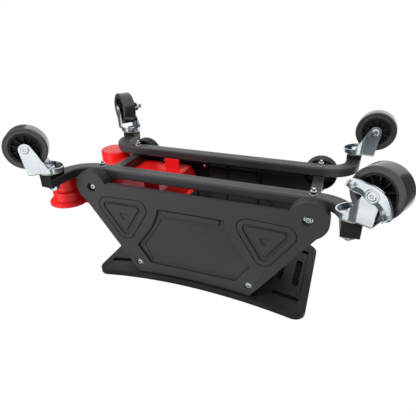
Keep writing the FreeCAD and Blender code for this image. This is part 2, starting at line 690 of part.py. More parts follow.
def cup_walls():
    """Outer forms of the straight rear cup and the stepped front cup, each with its rim."""
    straight = post(CUP_RADIUS, CUP_X, CUP_Y, CUP_BOTTOM, CUP_RIM)
    straight = fillet_where(straight, CUP_BOTTOM_ROUND, lambda b: b.ZMax < CUP_BOTTOM + EDGE_TOLERANCE)
    walls = [straight]
    start = CUP_BOTTOM
    for radius, end in STEPPED_CUP:
        walls.append(post(radius, CUP_X, -CUP_Y, start, end))
        start = end
    walls += [post(CUP_RIM_RADIUS, CUP_X, y, CUP_RIM - CUP_RIM_THICKNESS, CUP_RIM) for y in (CUP_Y, -CUP_Y)]
    return walls


def cup_hollows():
    """Insides of the two cups."""
    over = CUP_RIM + CUT_MARGIN
    hollows = [post(CUP_RADIUS - TRAY_WALL, CUP_X, CUP_Y, CUP_BOTTOM + TRAY_WALL, over)]
    start = CUP_BOTTOM
    for radius, end in STEPPED_CUP:
        hollows.append(post(radius - TRAY_WALL, CUP_X, -CUP_Y, start + TRAY_WALL, over))
        start = end
    return hollows


def make_tray():
    """Tray: flared body with a rim flange, one straight cup, one stepped cup and two stop tabs below."""
    tray = tray_block(0, TRAY_BOTTOM, TRAY_RIM).fuse(tray_flange())
    tray = tray.cut(tray_block(TRAY_WALL, TRAY_BOTTOM + TRAY_WALL, TRAY_RIM + CUT_MARGIN))
    tray = tray.fuse(cup_walls()).cut(cup_hollows())
    low, high = TRAY_BOTTOM - TAB_DROP, TRAY_BOTTOM + TRAY_WALL / 2
    half = TAB_THICKNESS / 2
    tab = box(at(TAB_NEAR, TAB_Y - half, low), at(TAB_FAR, TAB_Y + half, high))
    return tray.fuse([tab, mirrored_y(tab)]).removeSplitter()


def make_runner():
    """Angle strip on the front panel's ribs whose ledge carries the tray's flange."""
    back = -PANEL_INNER
    top = TRAY_RIM - TRAY_FLANGE_THICKNESS - RUNNER_GAP
    web = box(at(RUNNER_NEAR, back, RUNNER_BOTTOM), at(RUNNER_FAR, back + RUNNER_WEB, top))
    ledge = box(at(RUNNER_NEAR, back, top - RUNNER_LEDGE), at(RUNNER_FAR, back + RUNNER_REACH, top))
    radius = RUNNER_SCREW_RADIUS + LOOSE_CLEARANCE
    holes = [rod(radius, x, RUNNER_SCREW_Z, back - CUT_MARGIN, 0) for x in RUNNER_SCREWS_X]
    return web.fuse(ledge).removeSplitter().cut(holes)


def runner_screws():
    """Pan-head screws through the front runner into the panel."""
    seat = RUNNER_WEB - PANEL_INNER
    crest = seat + RUNNER_SCREW_HEAD
    screws = []
    for x in RUNNER_SCREWS_X:
        head = rod(RUNNER_SCREW_HEAD_RADIUS, x, RUNNER_SCREW_Z, seat, crest)
        head = fillet_where(head, RUNNER_SCREW_ROUND, lambda b: b.YMin > crest - EDGE_TOLERANCE)
        shank = rod(RUNNER_SCREW_RADIUS, x, RUNNER_SCREW_Z, -PANEL_INNER - RUNNER_SCREW_BITE, seat)
        screws.append(head.fuse(shank).removeSplitter())
    return screws


def side_bolt(bolt, x, z, recess, tip):
    """Button-headed bolt from a recess in the front panel inward, with a hexagon socket."""
    radius, head_radius, head_height = bolt
    seat = recess - PANEL_OUTER
    crest = seat - head_height
    head = rod(head_radius, x, z, crest, seat)
    head = fillet_where(head, head_height * HEAD_ROUND_SHARE, lambda b: b.YMax < crest + EDGE_TOLERANCE)
    head = head.cut(hex_rod(head_radius * SOCKET_SHARE, x, z, crest - CUT_MARGIN, crest + head_height / 2))
    return head.fuse(rod(radius, x, z, seat, tip)).removeSplitter()


def ear_inserts():
    """Threaded blocks in the front ends of the cross tubes that take the ear bolts."""
    half = CROSS_SIZE / 2 - CROSS_WALL - LOOSE_CLEARANCE
    inserts = []
    for x in (CROSS_X, -CROSS_X):
        end = EAR_INSERT_LENGTH - EAR_INNER
        block = box(at(x - half, -EAR_INNER, CROSS_Z - half), at(x + half, end, CROSS_Z + half))
        inserts.append(block.cut(rod(EAR_BOLT[0] + LOOSE_CLEARANCE, x, CROSS_Z, -PANEL_OUTER, 0)))
    return inserts


def frame_fasteners():
    """Bolts down through the cross tubes and the front rail, and the flanged nuts below it."""
    y = -RAIL_OFFSET
    head_low = RAIL_TOP + CROSS_WALL
    flange_low = RAIL_UNDERSIDE - FRAME_FLANGE_THICKNESS
    nut_low = flange_low - FRAME_NUT_HEIGHT
    tip = nut_low - FRAME_BOLT_TIP
    bolts, nuts = [], []
    for x in (CROSS_X, -CROSS_X):
        shank = post(FRAME_BOLT_RADIUS, x, y, tip, head_low)
        shank = fillet_where(shank, FRAME_BOLT_ROUND, lambda bounds: bounds.ZMax < tip + EDGE_TOLERANCE)
        head = hex_post(FRAME_BOLT_FLATS, x, y, head_low, head_low + FRAME_BOLT_HEAD)
        bolts.append(head.fuse(shank).removeSplitter())
        flange = post(FRAME_FLANGE_RADIUS, x, y, flange_low, RAIL_UNDERSIDE)
        nut = hex_post(FRAME_BOLT_FLATS, x, y, nut_low, flange_low).fuse(flange)
        nut = nut.cut(post(FRAME_BOLT_RADIUS + LOOSE_CLEARANCE, x, y, nut_low, RAIL_UNDERSIDE))
        nuts.append(nut.removeSplitter())
    return bolts, nuts


def make_tyre():
    """Tyre about the X axis, with rounded shoulders and a sunk ring on each face."""
    half = TYRE_WIDTH / 2
    lip = TYRE_INNER_RADIUS + TYRE_LIP
    shoulder = WHEEL_RADIUS - TYRE_SHOULDER
    crown = half - TYRE_SHOULDER
    bend = TYRE_SHOULDER * math.sqrt(0.5)
    side = [at(half, 0, TYRE_INNER_RADIUS), at(half, 0, lip), at(half - TYRE_GROOVE, 0, lip + TYRE_GROOVE),
            at(half - TYRE_GROOVE, 0, shoulder - TYRE_GROOVE), at(half, 0, shoulder)]
    right = [line(a, b) for a, b in zip(side, side[1:])]
    right.append(arc(at(half, 0, shoulder), at(crown + bend, 0, shoulder + bend), at(crown, 0, WHEEL_RADIUS)))
    right.append(line(at(crown, 0, WHEEL_RADIUS), at(0, 0, WHEEL_RADIUS)))
    right.append(line(at(0, 0, TYRE_INNER_RADIUS), side[0]))
    left = [edge.mirror(ORIGIN, X_AXIS) for edge in right]
    section = Part.Face(Part.Wire(Part.__sortEdges__(right + left)))
    return section.revolve(ORIGIN, X_AXIS, 360).removeSplitter()


def make_core():
    """Wheel core about the X axis: hub, web, rim and radial ribs on both faces."""
    rim = disc(CORE_RADIUS, CORE_HALF_WIDTH).cut(disc(CORE_RIM_INNER, CORE_HALF_WIDTH))
    pieces = [disc(CORE_RIM_INNER + CORE_SINK, CORE_WEB / 2), disc(HUB_RADIUS, HUB_HALF_LENGTH)]
    half = CORE_RIB_THICKNESS / 2
    for i in range(CORE_RIB_COUNT):
        rib = box(at(-CORE_RIB_HALF_WIDTH, -half, HUB_RADIUS - CORE_SINK),
                  at(CORE_RIB_HALF_WIDTH, half, CORE_RIM_INNER + CORE_SINK))
        rib.rotate(ORIGIN, X_AXIS, 360 / CORE_RIB_COUNT * i)
        pieces.append(rib)
    bore = disc(AXLE_RADIUS + RUNNING_CLEARANCE, HUB_HALF_LENGTH)
    return rim.fuse(pieces).removeSplitter().cut(bore)


def fork_side():
    """Side outline of the fork: low front wall, then legs that taper to the axle eye."""
    eye = at(CASTER_TRAIL, WHEEL_RADIUS)
    front_top, rear_top = at(FORK_FRONT, CROWN_TOP), at(FORK_REAR, CROWN_TOP)
    front_low = at(FORK_FRONT, CROWN_TOP - FORK_FRONT_WALL)
    front_touch = tangent_point(front_low, eye, FORK_EYE_RADIUS, -1)
    rear_touch = tangent_point(rear_top, eye, FORK_EYE_RADIUS, 1)
    bottom = eye - at(0, FORK_EYE_RADIUS)
    edges = [line(rear_top, front_top), line(front_top, front_low), line(front_low, front_touch),
             arc(front_touch, bottom, rear_touch), line(rear_touch, rear_top)]
    return Part.Face(Part.Wire(edges))


def make_fork():
    """Pressed steel caster fork: dished crown, rounded front wall and two tapering legs."""
    def channel(half_width, front, radius):
        def front_corner(bounds):
            return bounds.XMax < front + EDGE_TOLERANCE and bounds.ZLength > CROWN_LOW

        length = CASTER_TRAIL + WHEEL_RADIUS - front
        block = Part.makeBox(length, 2 * half_width, CROWN_TOP, at(front, -half_width))
        return fillet_where(block, radius, front_corner)

    outside = channel(FORK_OUTER_HALF, FORK_FRONT, FORK_FRONT_RADIUS)
    inside = channel(FORK_INNER_HALF, FORK_FRONT + FORK_SHEET, FORK_FRONT_RADIUS - FORK_SHEET)
    inside = inside.cut(box(at(FORK_FRONT, -CROWN_TOP, CROWN_LOW), at(CROWN_TOP, CROWN_TOP, CROWN_TOP)))
    reach = FORK_OUTER_HALF + CUT_MARGIN
    fork = outside.cut(inside).common(wall(fork_side(), -reach, reach))
    lip_low = CROWN_LOW - CROWN_LIP_DEPTH
    lip = post(CROWN_RADIUS, 0, 0, lip_low, CROWN_TOP)
    lip = lip.cut(post(CROWN_RADIUS - CROWN_LIP_WIDTH, 0, 0, lip_low, CROWN_LOW))
    fork = fork.fuse(lip)
    fork = fork.cut(post(STEM_RADIUS + RUNNING_CLEARANCE, 0, 0, lip_low, CROWN_TOP + CUT_MARGIN))
    fork = fork.cut(rod(AXLE_RADIUS + LOOSE_CLEARANCE, CASTER_TRAIL, WHEEL_RADIUS, -reach, reach))
    return fork.removeSplitter()


def make_axle(braked):
    """Axle pin riveted over at both legs, or outside the brake rocker: low domes with a dimple."""
    near = -FORK_OUTER_HALF
    far = BRAKE_OUTER + BRAKE_BOSS_HEIGHT + BRAKE_GAP if braked else FORK_OUTER_HALF
    place = (CASTER_TRAIL, WHEEL_RADIUS)
    low, high = near - AXLE_HEAD, far + AXLE_HEAD
    first = rod(AXLE_HEAD_RADIUS, *place, low, near)
    first = fillet_where(first, AXLE_HEAD_ROUND, lambda bounds: bounds.YMax < low + EDGE_TOLERANCE)
    second = rod(AXLE_HEAD_RADIUS, *place, far, high)
    second = fillet_where(second, AXLE_HEAD_ROUND, lambda bounds: bounds.YMin > high - EDGE_TOLERANCE)
    axle = rod(AXLE_RADIUS, *place, near, far).fuse([first, second]).removeSplitter()
    return axle.cut([rod(AXLE_DIMPLE_RADIUS, *place, low, low + AXLE_DIMPLE),
                     rod(AXLE_DIMPLE_RADIUS, *place, high - AXLE_DIMPLE, high)])


def make_stem():
    """Threaded stem with the swivel head that the fork hangs on."""
    head_top = CROWN_LOW - SWIVEL_GAP
    head_low = head_top - STEM_HEAD_HEIGHT
    head = post(STEM_HEAD_RADIUS, 0, 0, head_low, head_top)
    head = fillet_where(head, STEM_HEAD_ROUND, lambda b: b.ZMax < head_low + EDGE_TOLERANCE)
    return head.fuse(post(STEM_RADIUS, 0, 0, head_top, STEM_TOP)).removeSplitter()


def make_stem_nut():
    """Nut on the stem, on top of the rail."""
    nut = hex_post(STEM_NUT_FLATS, 0, 0, RAIL_TOP, RAIL_TOP + STEM_NUT_HEIGHT)
    return nut.cut(post(STEM_RADIUS + LOOSE_CLEARANCE, 0, 0, RAIL_TOP, STEM_TOP))


def make_race():
    """Fixed bearing race between the end cap's shoe and the fork's crown."""
    low = CROWN_TOP + SWIVEL_GAP
    race = post(RACE_RADIUS, 0, 0, low, SHOE_LOW)
    return race.cut(post(STEM_RADIUS + LOOSE_CLEARANCE, 0, 0, low, SHOE_LOW))


def brake_tab(end):
    """Tab turned outward at one end of the rocker, square to the line from the axle."""
    reach, half = math.hypot(*end), BRAKE_TAB_WIDTH / 2
    tab = box(at(reach, BRAKE_INNER, -half), at(reach + BRAKE_SHEET, BRAKE_OUTER + BRAKE_TAB_LENGTH, half))
    tab.rotate(ORIGIN, Y_AXIS, -math.degrees(math.atan2(end[1], end[0])))
    tab.translate(at(CASTER_TRAIL, 0, WHEEL_RADIUS))
    return tab


def make_brake():
    """Brake rocker: a stamped crescent on the axle with a raised boss and a pedal tab at each end."""
    place = (CASTER_TRAIL, WHEEL_RADIUS)
    boss_top = BRAKE_OUTER + BRAKE_BOSS_HEIGHT
    outline = Part.BSplineCurve()
    outline.interpolate([at(CASTER_TRAIL + x, WHEEL_RADIUS + z) for x, z in BRAKE_OUTLINE], PeriodicFlag=True)
    brake = wall(Part.Face(Part.Wire(outline.toShape())), BRAKE_INNER, BRAKE_OUTER)
    brake = brake.fuse([brake_tab(end) for end in BRAKE_ENDS])
    brake = brake.fuse(rod(BRAKE_BOSS_RADIUS, *place, BRAKE_OUTER, boss_top)).removeSplitter()
    holes = [rod(AXLE_RADIUS + RUNNING_CLEARANCE, *place, BRAKE_INNER, boss_top)]
    for x, z in BRAKE_HOLES:
        holes.append(rod(BRAKE_HOLE_RADIUS, CASTER_TRAIL + x, WHEEL_RADIUS + z, BRAKE_INNER, BRAKE_OUTER))
    return brake.cut(holes)


def save_caster(name, side_x, side_y, trail_angle, braked):
    """Place one caster's pieces under its tube end and write them."""
    place = Placement(at(side_x * STEM_PLACE.x, -side_y * STEM_PLACE.y), Rotation(Z_AXIS, trail_angle))
    on_axle = Placement(at(CASTER_TRAIL, 0, WHEEL_RADIUS), Rotation(Z_AXIS, 90))
    pieces = {"stem": make_stem(), "nut": make_stem_nut(), "race": make_race(), "fork": make_fork(),
              "axle": make_axle(braked), "core": make_core(), "tyre": make_tyre()}
    if braked:
        pieces["brake"] = make_brake()
    for piece in ("core", "tyre"):
        pieces[piece].Placement = on_axle
    for piece, shape in pieces.items():
        shape.Placement = place.multiply(shape.Placement)
        save(f"{name}_caster_{piece}", shape)


def save_base():
    """Write the rails, their end caps, the cross tubes and the fasteners between them."""
    rail = make_rail()
    save("front_rail", rail)
    save("rear_rail", mirrored_y(rail))
    for side, end in ((1, "right"), (-1, "left")):
        cap = make_cap(side)
        save(f"front_{end}_end_cap", cap)
        save(f"rear_{end}_end_cap", mirrored_y(cap))
        save(f"{end}_cross_tube", make_cross_tube(side))
    bolts, nuts = frame_fasteners()
    save_pairs({"frame_bolts": bolts, "frame_nuts": nuts, "ear_bolt_inserts": ear_inserts()})


def save_pairs(groups):
    """Write each group of front pieces together with its mirrored rear pieces."""
    for name, pieces in groups.items():
        save(name, *pieces, *[mirrored_y(piece) for piece in pieces])


def save_body():
    """Write the panels, the seat, the tray with its runners and the bolts that hold them."""
    panel, runner = make_panel(), make_runner()
    save("front_panel", panel)
    save("rear_panel", mirrored_y(panel))
    save("seat", make_seat())
    save("tray", make_tray())
    save("front_tray_runner", runner)
    save("rear_tray_runner", mirrored_y(runner))
    ear_bolts, seat_bolts, seat_nuts = [], [], []
    nut_end = SEAT_NUT_HEIGHT - LUG_INNER
    for side in (1, -1):
        x = side * SEAT_BOLT_X
        ear_bolts.append(side_bolt(EAR_BOLT, side * CROSS_X, CROSS_Z, EAR_RECESS_DEPTH, -EAR_BOLT_TIP))
        seat_bolts.append(side_bolt(SEAT_BOLT, x, SEAT_BOLT_Z, SEAT_BOLT_RECESS_DEPTH, nut_end + BOLT_TIP))
        nut = hex_rod(SEAT_NUT_FLATS, x, SEAT_BOLT_Z, -LUG_INNER, nut_end)
        seat_nuts.append(nut.cut(rod(SEAT_BOLT[0] + LOOSE_CLEARANCE, x, SEAT_BOLT_Z, -LUG_INNER, nut_end)))
    save_pairs({"ear_bolts": ear_bolts, "seat_bolts": seat_bolts, "seat_nuts": seat_nuts,
                "runner_screws": runner_screws()})


def main():
    """Build every piece and write it."""
    os.makedirs("parts", exist_ok=True)
    save_base()
    save_body()
    for caster in CASTERS:
        save_caster(*caster)


main()
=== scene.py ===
"""Workshop stool: finishes, detail pieces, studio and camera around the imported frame.

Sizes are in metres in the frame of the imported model: X along the stool, Z up, the floor at zero. The camera
looks from below the floor and is turned over, so the picture shows the stool standing on its seat.
"""

from __future__ import annotations

import json
import logging
import math
from dataclasses import dataclass
from enum import Enum
from typing import Any

import bmesh
import bpy
import numpy as np
from mathutils import Matrix, Vector


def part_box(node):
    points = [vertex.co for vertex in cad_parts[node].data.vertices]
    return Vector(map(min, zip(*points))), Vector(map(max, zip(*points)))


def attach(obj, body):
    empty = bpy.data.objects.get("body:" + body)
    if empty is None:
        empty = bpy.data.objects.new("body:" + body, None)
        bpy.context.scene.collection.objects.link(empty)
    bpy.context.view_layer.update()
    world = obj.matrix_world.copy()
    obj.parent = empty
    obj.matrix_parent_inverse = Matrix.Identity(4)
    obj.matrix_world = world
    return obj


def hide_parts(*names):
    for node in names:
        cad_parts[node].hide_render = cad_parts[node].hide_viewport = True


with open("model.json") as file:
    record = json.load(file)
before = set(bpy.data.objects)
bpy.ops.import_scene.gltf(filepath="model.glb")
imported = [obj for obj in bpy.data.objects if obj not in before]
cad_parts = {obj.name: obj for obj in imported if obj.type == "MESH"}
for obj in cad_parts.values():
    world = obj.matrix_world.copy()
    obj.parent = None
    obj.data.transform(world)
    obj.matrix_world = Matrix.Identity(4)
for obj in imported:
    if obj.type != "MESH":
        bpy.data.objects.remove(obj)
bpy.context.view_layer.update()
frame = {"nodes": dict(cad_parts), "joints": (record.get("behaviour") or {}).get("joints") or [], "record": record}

LOG = logging.getLogger("workshop_stool")
MM = 0.001
UP = (0.0, 0.0, 1.0)
# Span from none to all
FULL = (0.0, 1.0)
Colour = tuple[float, float, float]
Place = tuple[float, float, float]
Span = tuple[float, float]
Socket = bpy.types.NodeSocket
Piece = bpy.types.Object
Tree = bpy.types.NodeTree


# Node trees


class NodeGraph:
    """Short-hand for filling one node tree."""

    def __init__(self, tree: Tree) -> None:
        """Empties the tree and keeps it."""
        self.tree = tree
        tree.nodes.clear()

    def add(self, kind: str, inputs: dict[int | str, Any] | None = None, **settings: Any) -> bpy.types.Node:
        """Adds a node.

        Args:
            kind: Blender's type name of the node, without its ShaderNode prefix.
            inputs: values or sockets for the node's inputs, by name or place.
            settings: properties of the node.

        Returns:
            The new node.
        """
        node = self.tree.nodes.new(kind if kind.startswith("NodeGroup") else "ShaderNode" + kind)
        for key, value in settings.items():
            setattr(node, key, value)
        for key, value in (inputs or {}).items():
            self.feed(node.inputs[key], value)
        return node

    def feed(self, socket: Socket, value: Any) -> None:
        """Links a socket to an input, or sets the input's plain value.

        Args:
            socket: the input.
            value: socket to link to it, or a colour or number.
        """
        if isinstance(value, Socket):
            self.tree.links.new(value, socket)
        elif socket.type == "RGBA" and len(value) == 3:
            socket.default_value = (*value, 1.0)
        else:
            socket.default_value = value

    def math(self, operation: str, first: Any, second: Any = 0.0) -> Socket:
        """Output of a Math node on two values."""
        return self.add("Math", {0: first, 1: second}, operation=operation).outputs[0]

    def remap(self, value: Any, source: Span, target: Span) -> Socket:
        """Output of a clamped Map Range node from one span to another."""
        spans = {0: value, 1: source[0], 2: source[1], 3: target[0], 4: target[1]}
        return self.add("MapRange", spans, clamp=True).outputs[0]

    def blend(self, share: Any, first: Any, second: Any) -> Socket:
        """Colour between two colours by a share."""
        return self.add("Mix", {0: share, 6: first, 7: second}, data_type="RGBA").outputs[2]

    def noise(self, vector: Any, scale: Any, detail: float = 3.0) -> Socket:
        """Value of a Noise Texture."""
        return self.add("TexNoise", {"Vector": vector, "Scale": scale, "Detail": detail}).outputs[0]


def new_material(name: str) -> tuple[bpy.types.Material, NodeGraph]:
    """Makes a material with an empty node tree.

    Args:
        name: name of the material.

    Returns:
        The material, and the graph that fills it.
    """
    material = bpy.data.materials.new(name)
    material.use_nodes = True
    return material, NodeGraph(material.node_tree)


class Effect(Enum):
    """Shared shader effects; each is one node group."""

    GRAIN = "moulded_grain"
    SCUFF = "scuff_marks"
    RUB = "edge_rub"
    # Painted shade: darkening in inside corners, where shade falls
    PAINTED_SHADE = "painted_corner_shade"


class EffectShelf:
    """Builds each shared effect once and places it in materials."""

    # Share of the cells in the grain, and span of noise over which its patches come in
    cell_share = 0.5
    patch_span = (0.32, 0.68)
    # Stretch and turn in radians of both sets of scratches, and their span of noise
    scratches = (((1.0, 0.05, 1.0), 0.6), ((0.05, 1.0, 0.7), -0.4))
    scratch_span = (0.66, 0.72)
    # Cosine between the rounded normal and the surface's own, on flat places and on edges
    edge_span = (0.99, 0.8)
    # Open share of the view from unshaded places and from places in full painted shade
    closed_span = (0.92, 0.57)
    # Breaks of a mask in a metre, their span of noise, and least and full strength
    breaks = {Effect.SCUFF: (14.0, (0.45, 0.7), FULL), Effect.RUB: (60.0, (0.3, 0.75), (0.15, 1.0)),
              Effect.PAINTED_SHADE: (40.0, (0.2, 0.8), (0.75, 1.0))}

    def __init__(self) -> None:
        """Starts with no groups."""
        self.groups: dict[Effect, Tree] = {}

    def place(self, graph: NodeGraph, effect: Effect, **values: Any) -> bpy.types.Node:
        """Adds an effect's group to a tree.

        Args:
            graph: tree that gets the group.
            effect: which effect.
            values: inputs of the group, by name.

        Returns:
            The group's node.
        """
        if effect not in self.groups:
            makers = {Effect.GRAIN: self.make_grain, Effect.SCUFF: self.make_scuff, Effect.RUB: self.make_rub,
                      Effect.PAINTED_SHADE: self.make_painted_shade}
            self.groups[effect] = makers[effect]()
        node = graph.add("Group", node_tree=self.groups[effect])
        for name, value in values.items():
            graph.feed(node.inputs[name], value)
        return node

    def new_group(self, effect: Effect, inputs: tuple[str, ...],
                  outputs: tuple[str, ...]) -> tuple[NodeGraph, Any]:
        """Makes an empty group.

        Args:
            effect: which effect.
            inputs: names of its number inputs, which follow a Vector input.
            outputs: names of its outputs, numbers apart from a Normal.

        Returns:
            The group's graph, and the sockets of its inputs.
        """
        tree = bpy.data.node_groups.new(effect.value, "ShaderNodeTree")
        tree.interface.new_socket("Vector", in_out="INPUT", socket_type="NodeSocketVector")
        for name in inputs:
            tree.interface.new_socket(name, in_out="INPUT", socket_type="NodeSocketFloat")
        for name in outputs:
            kind = "NodeSocketVector" if name == "Normal" else "NodeSocketFloat"
            tree.interface.new_socket(name, in_out="OUTPUT", socket_type=kind)
        graph = NodeGraph(tree)
        return graph, graph.add("NodeGroupInput").outputs

    def broken(self, graph: NodeGraph, source: Any, mask: Socket, effect: Effect) -> Socket:
        """Mask broken up by the effect's noise and multiplied by the group's Amount."""
        noise = graph.remap(graph.noise(source["Vector"], self.breaks[effect][0]), *self.breaks[effect][1:])
        return graph.math("MULTIPLY", graph.math("MULTIPLY", mask, noise), source["Amount"])

    def make_grain(self) -> Tree:
        """Fine moulded or sprayed texture (Height) with broad, faint patches (Patch).

        Returns:
            The group's tree.
        """
        graph, source = self.new_group(Effect.GRAIN, ("Scale", "Patch scale"), ("Height", "Patch"))
        fine = graph.noise(source["Vector"], source["Scale"], detail=4.0)
        cells = graph.add("TexVoronoi", {"Vector": source["Vector"], "Scale": source["Scale"]})
        coarse = graph.math("MULTIPLY", cells.outputs["Distance"], self.cell_share)
        height = graph.math("ADD", fine, coarse)
        broad = graph.noise(source["Vector"], source["Patch scale"], detail=5.0)
        patch = graph.remap(broad, self.patch_span, FULL)
        graph.add("NodeGroupOutput", {"Height": height, "Patch": patch})
        return graph.tree

    def make_scuff(self) -> Tree:
        """Thin crossing scratches that come and go in patches (Mask).

        Returns:
            The group's tree.
        """
        graph, source = self.new_group(Effect.SCUFF, ("Scale", "Amount"), ("Mask",))
        lines = []
        for stretch, turn in self.scratches:
            turned = graph.add("Mapping", {"Vector": source["Vector"], "Rotation": (turn, turn, turn),
                                           "Scale": stretch})
            streak = graph.noise(turned.outputs[0], source["Scale"], detail=2.0)
            lines.append(graph.remap(streak, self.scratch_span, FULL))
        both = graph.math("MAXIMUM", *lines)
        graph.add("NodeGroupOutput", {"Mask": self.broken(graph, source, both, Effect.SCUFF)})
        return graph.tree

    def make_rub(self) -> Tree:
        """Edges rubbed by handling (Mask), where a rounded normal (Normal) leaves the surface's own.

        Returns:
            The group's tree.
        """
        graph, source = self.new_group(Effect.RUB, ("Radius", "Amount"), ("Mask", "Normal"))
        rounded = graph.add("Bevel", {"Radius": source["Radius"]}, samples=4).outputs[0]
        straight = graph.add("NewGeometry").outputs["Normal"]
        same = graph.add("VectorMath", {0: rounded, 1: straight}, operation="DOT_PRODUCT").outputs["Value"]
        edge = graph.remap(same, self.edge_span, FULL)
        mask = self.broken(graph, source, edge, Effect.RUB)
        graph.add("NodeGroupOutput", {"Mask": mask, "Normal": rounded})
        return graph.tree

    def make_painted_shade(self) -> Tree:
        """Painted shade in inside corners (Mask): where the piece's own walls close a point in, broken up.

        Returns:
            The group's tree.
        """
        graph, source = self.new_group(Effect.PAINTED_SHADE, ("Reach", "Amount"), ("Mask",))
        open_share = graph.add("AmbientOcclusion", {"Distance": source["Reach"]}, samples=8, only_local=True)
        closed = graph.remap(open_share.outputs["AO"], self.closed_span, FULL)
        graph.add("NodeGroupOutput", {"Mask": self.broken(graph, source, closed, Effect.PAINTED_SHADE)})
        return graph.tree


# Finishes


@dataclass(frozen=True)
class Finish:
    """Moulded, painted or plated finish with grain, broad patches, scuffs and rubbed edges.

    Args:
        slot: material slot of the record that the finish belongs to.
        colour: main colour.
        patch: colour of the broad patches.
        rubbed: colour of rubbed edges and scuffs.
        roughness: lowest and highest roughness.
        grain: cells of the fine texture in a metre, and the height of its bumps in metres.
        patches: broad patches in a metre.
        scuffs: strength of the scratches.
        rub: radius of rounded edges in metres, and how strongly they are rubbed.
        edge: width in metres by which a CAD node's sharp edges are rounded.
        metallic: 1 for bare metal.
        specular: specular level.
        coat: weight of a clear coat.
        painted_shade: reach of the painted shade in inside corners in metres, and its strength.
        painted_shade_tone: share of the main colour that is left in the painted shade.
        scuff_scale: scratches in a metre.
        scuff_rough: roughness that a scratch adds.
        bump: strength of the grain's bumps.
        coat_rough: roughness of the clear coat.
    """

    slot: str
    colour: Colour
    patch: Colour
    rubbed: Colour
    roughness: tuple[float, float]
    grain: tuple[float, float]
    patches: float
    scuffs: float
    rub: tuple[float, float]
    edge: float
    metallic: float = 0.0
    specular: float = 0.5
    coat: float = 0.0
    # Painted shade in inside corners: reach and strength, and the share of the colour left in it
    painted_shade: tuple[float, float] = (0.006, 0.6)
    painted_shade_tone: float = 0.12
    scuff_scale: float = 90.0
    scuff_rough: float = 0.15
    bump: float = 0.6
    coat_rough: float = 0.08

    def material(self, shelf: EffectShelf) -> bpy.types.Material:
        """Builds the finish.

        Args:
            shelf: where the shared effects come from.

        Returns:
            A material on Object coordinates.
        """
        material, graph = new_material(self.slot + "_finish")
        place = graph.add("TexCoord").outputs["Object"]
        grain = shelf.place(graph, Effect.GRAIN, Vector=place, Scale=self.grain[0],
                            **{"Patch scale": self.patches}).outputs
        scuff = shelf.place(graph, Effect.SCUFF, Vector=place, Scale=self.scuff_scale,
                            Amount=self.scuffs).outputs["Mask"]
        rub = shelf.place(graph, Effect.RUB, Vector=place, Radius=self.rub[0], Amount=self.rub[1]).outputs
        worn = graph.math("MAXIMUM", scuff, rub["Mask"])
        # Painted shade: inside corners are darkened towards a small share of the main colour
        painted_shade = shelf.place(graph, Effect.PAINTED_SHADE, Vector=place, Reach=self.painted_shade[0], Amount=self.painted_shade[1])
        tone = graph.blend(grain["Patch"], self.colour, self.patch)
        tone = graph.blend(painted_shade.outputs["Mask"], tone, [self.painted_shade_tone * part for part in self.colour])
        colour = graph.blend(worn, tone, self.rubbed)
        rough = graph.remap(grain["Patch"], FULL, self.roughness)
        rough = graph.math("ADD", rough, graph.math("MULTIPLY", scuff, self.scuff_rough))
        height = self.relief(graph, place, grain["Height"])
        bump = graph.add("Bump", {"Height": height, "Distance": self.grain[1], "Strength": self.bump,
                                  "Normal": rub["Normal"]})
        shader = graph.add("BsdfPrincipled", {
            "Base Color": colour, "Roughness": rough, "Normal": bump.outputs[0], "Metallic": self.metallic,
            "Specular IOR Level": self.specular, "Coat Weight": self.coat,
            "Coat Roughness": self.coat_rough})
        graph.add("OutputMaterial", {"Surface": shader.outputs[0]})
        return material

    def relief(self, graph: NodeGraph, place: Socket, grain: Socket) -> Socket:
        """Height of the fine surface texture; here the grain alone."""
        return grain


@dataclass(frozen=True)
class PlatedMetal(Finish):
    """Plated steel: adds long, faint rolling lines to the grain.

    Args:
        rolling: rolling lines in a metre.
        stretch: scale of the lines' noise along Z.
    """

    rolling: float = 700.0
    stretch: float = 0.04

    def relief(self, graph: NodeGraph, place: Socket, grain: Socket) -> Socket:
        """Grain plus noise stretched along Z into rolling lines."""
        lines = graph.add("Mapping", {"Vector": place, "Scale": (1.0, 1.0, self.stretch)}).outputs[0]
        return graph.math("ADD", grain, graph.noise(lines, self.rolling, detail=2.0))
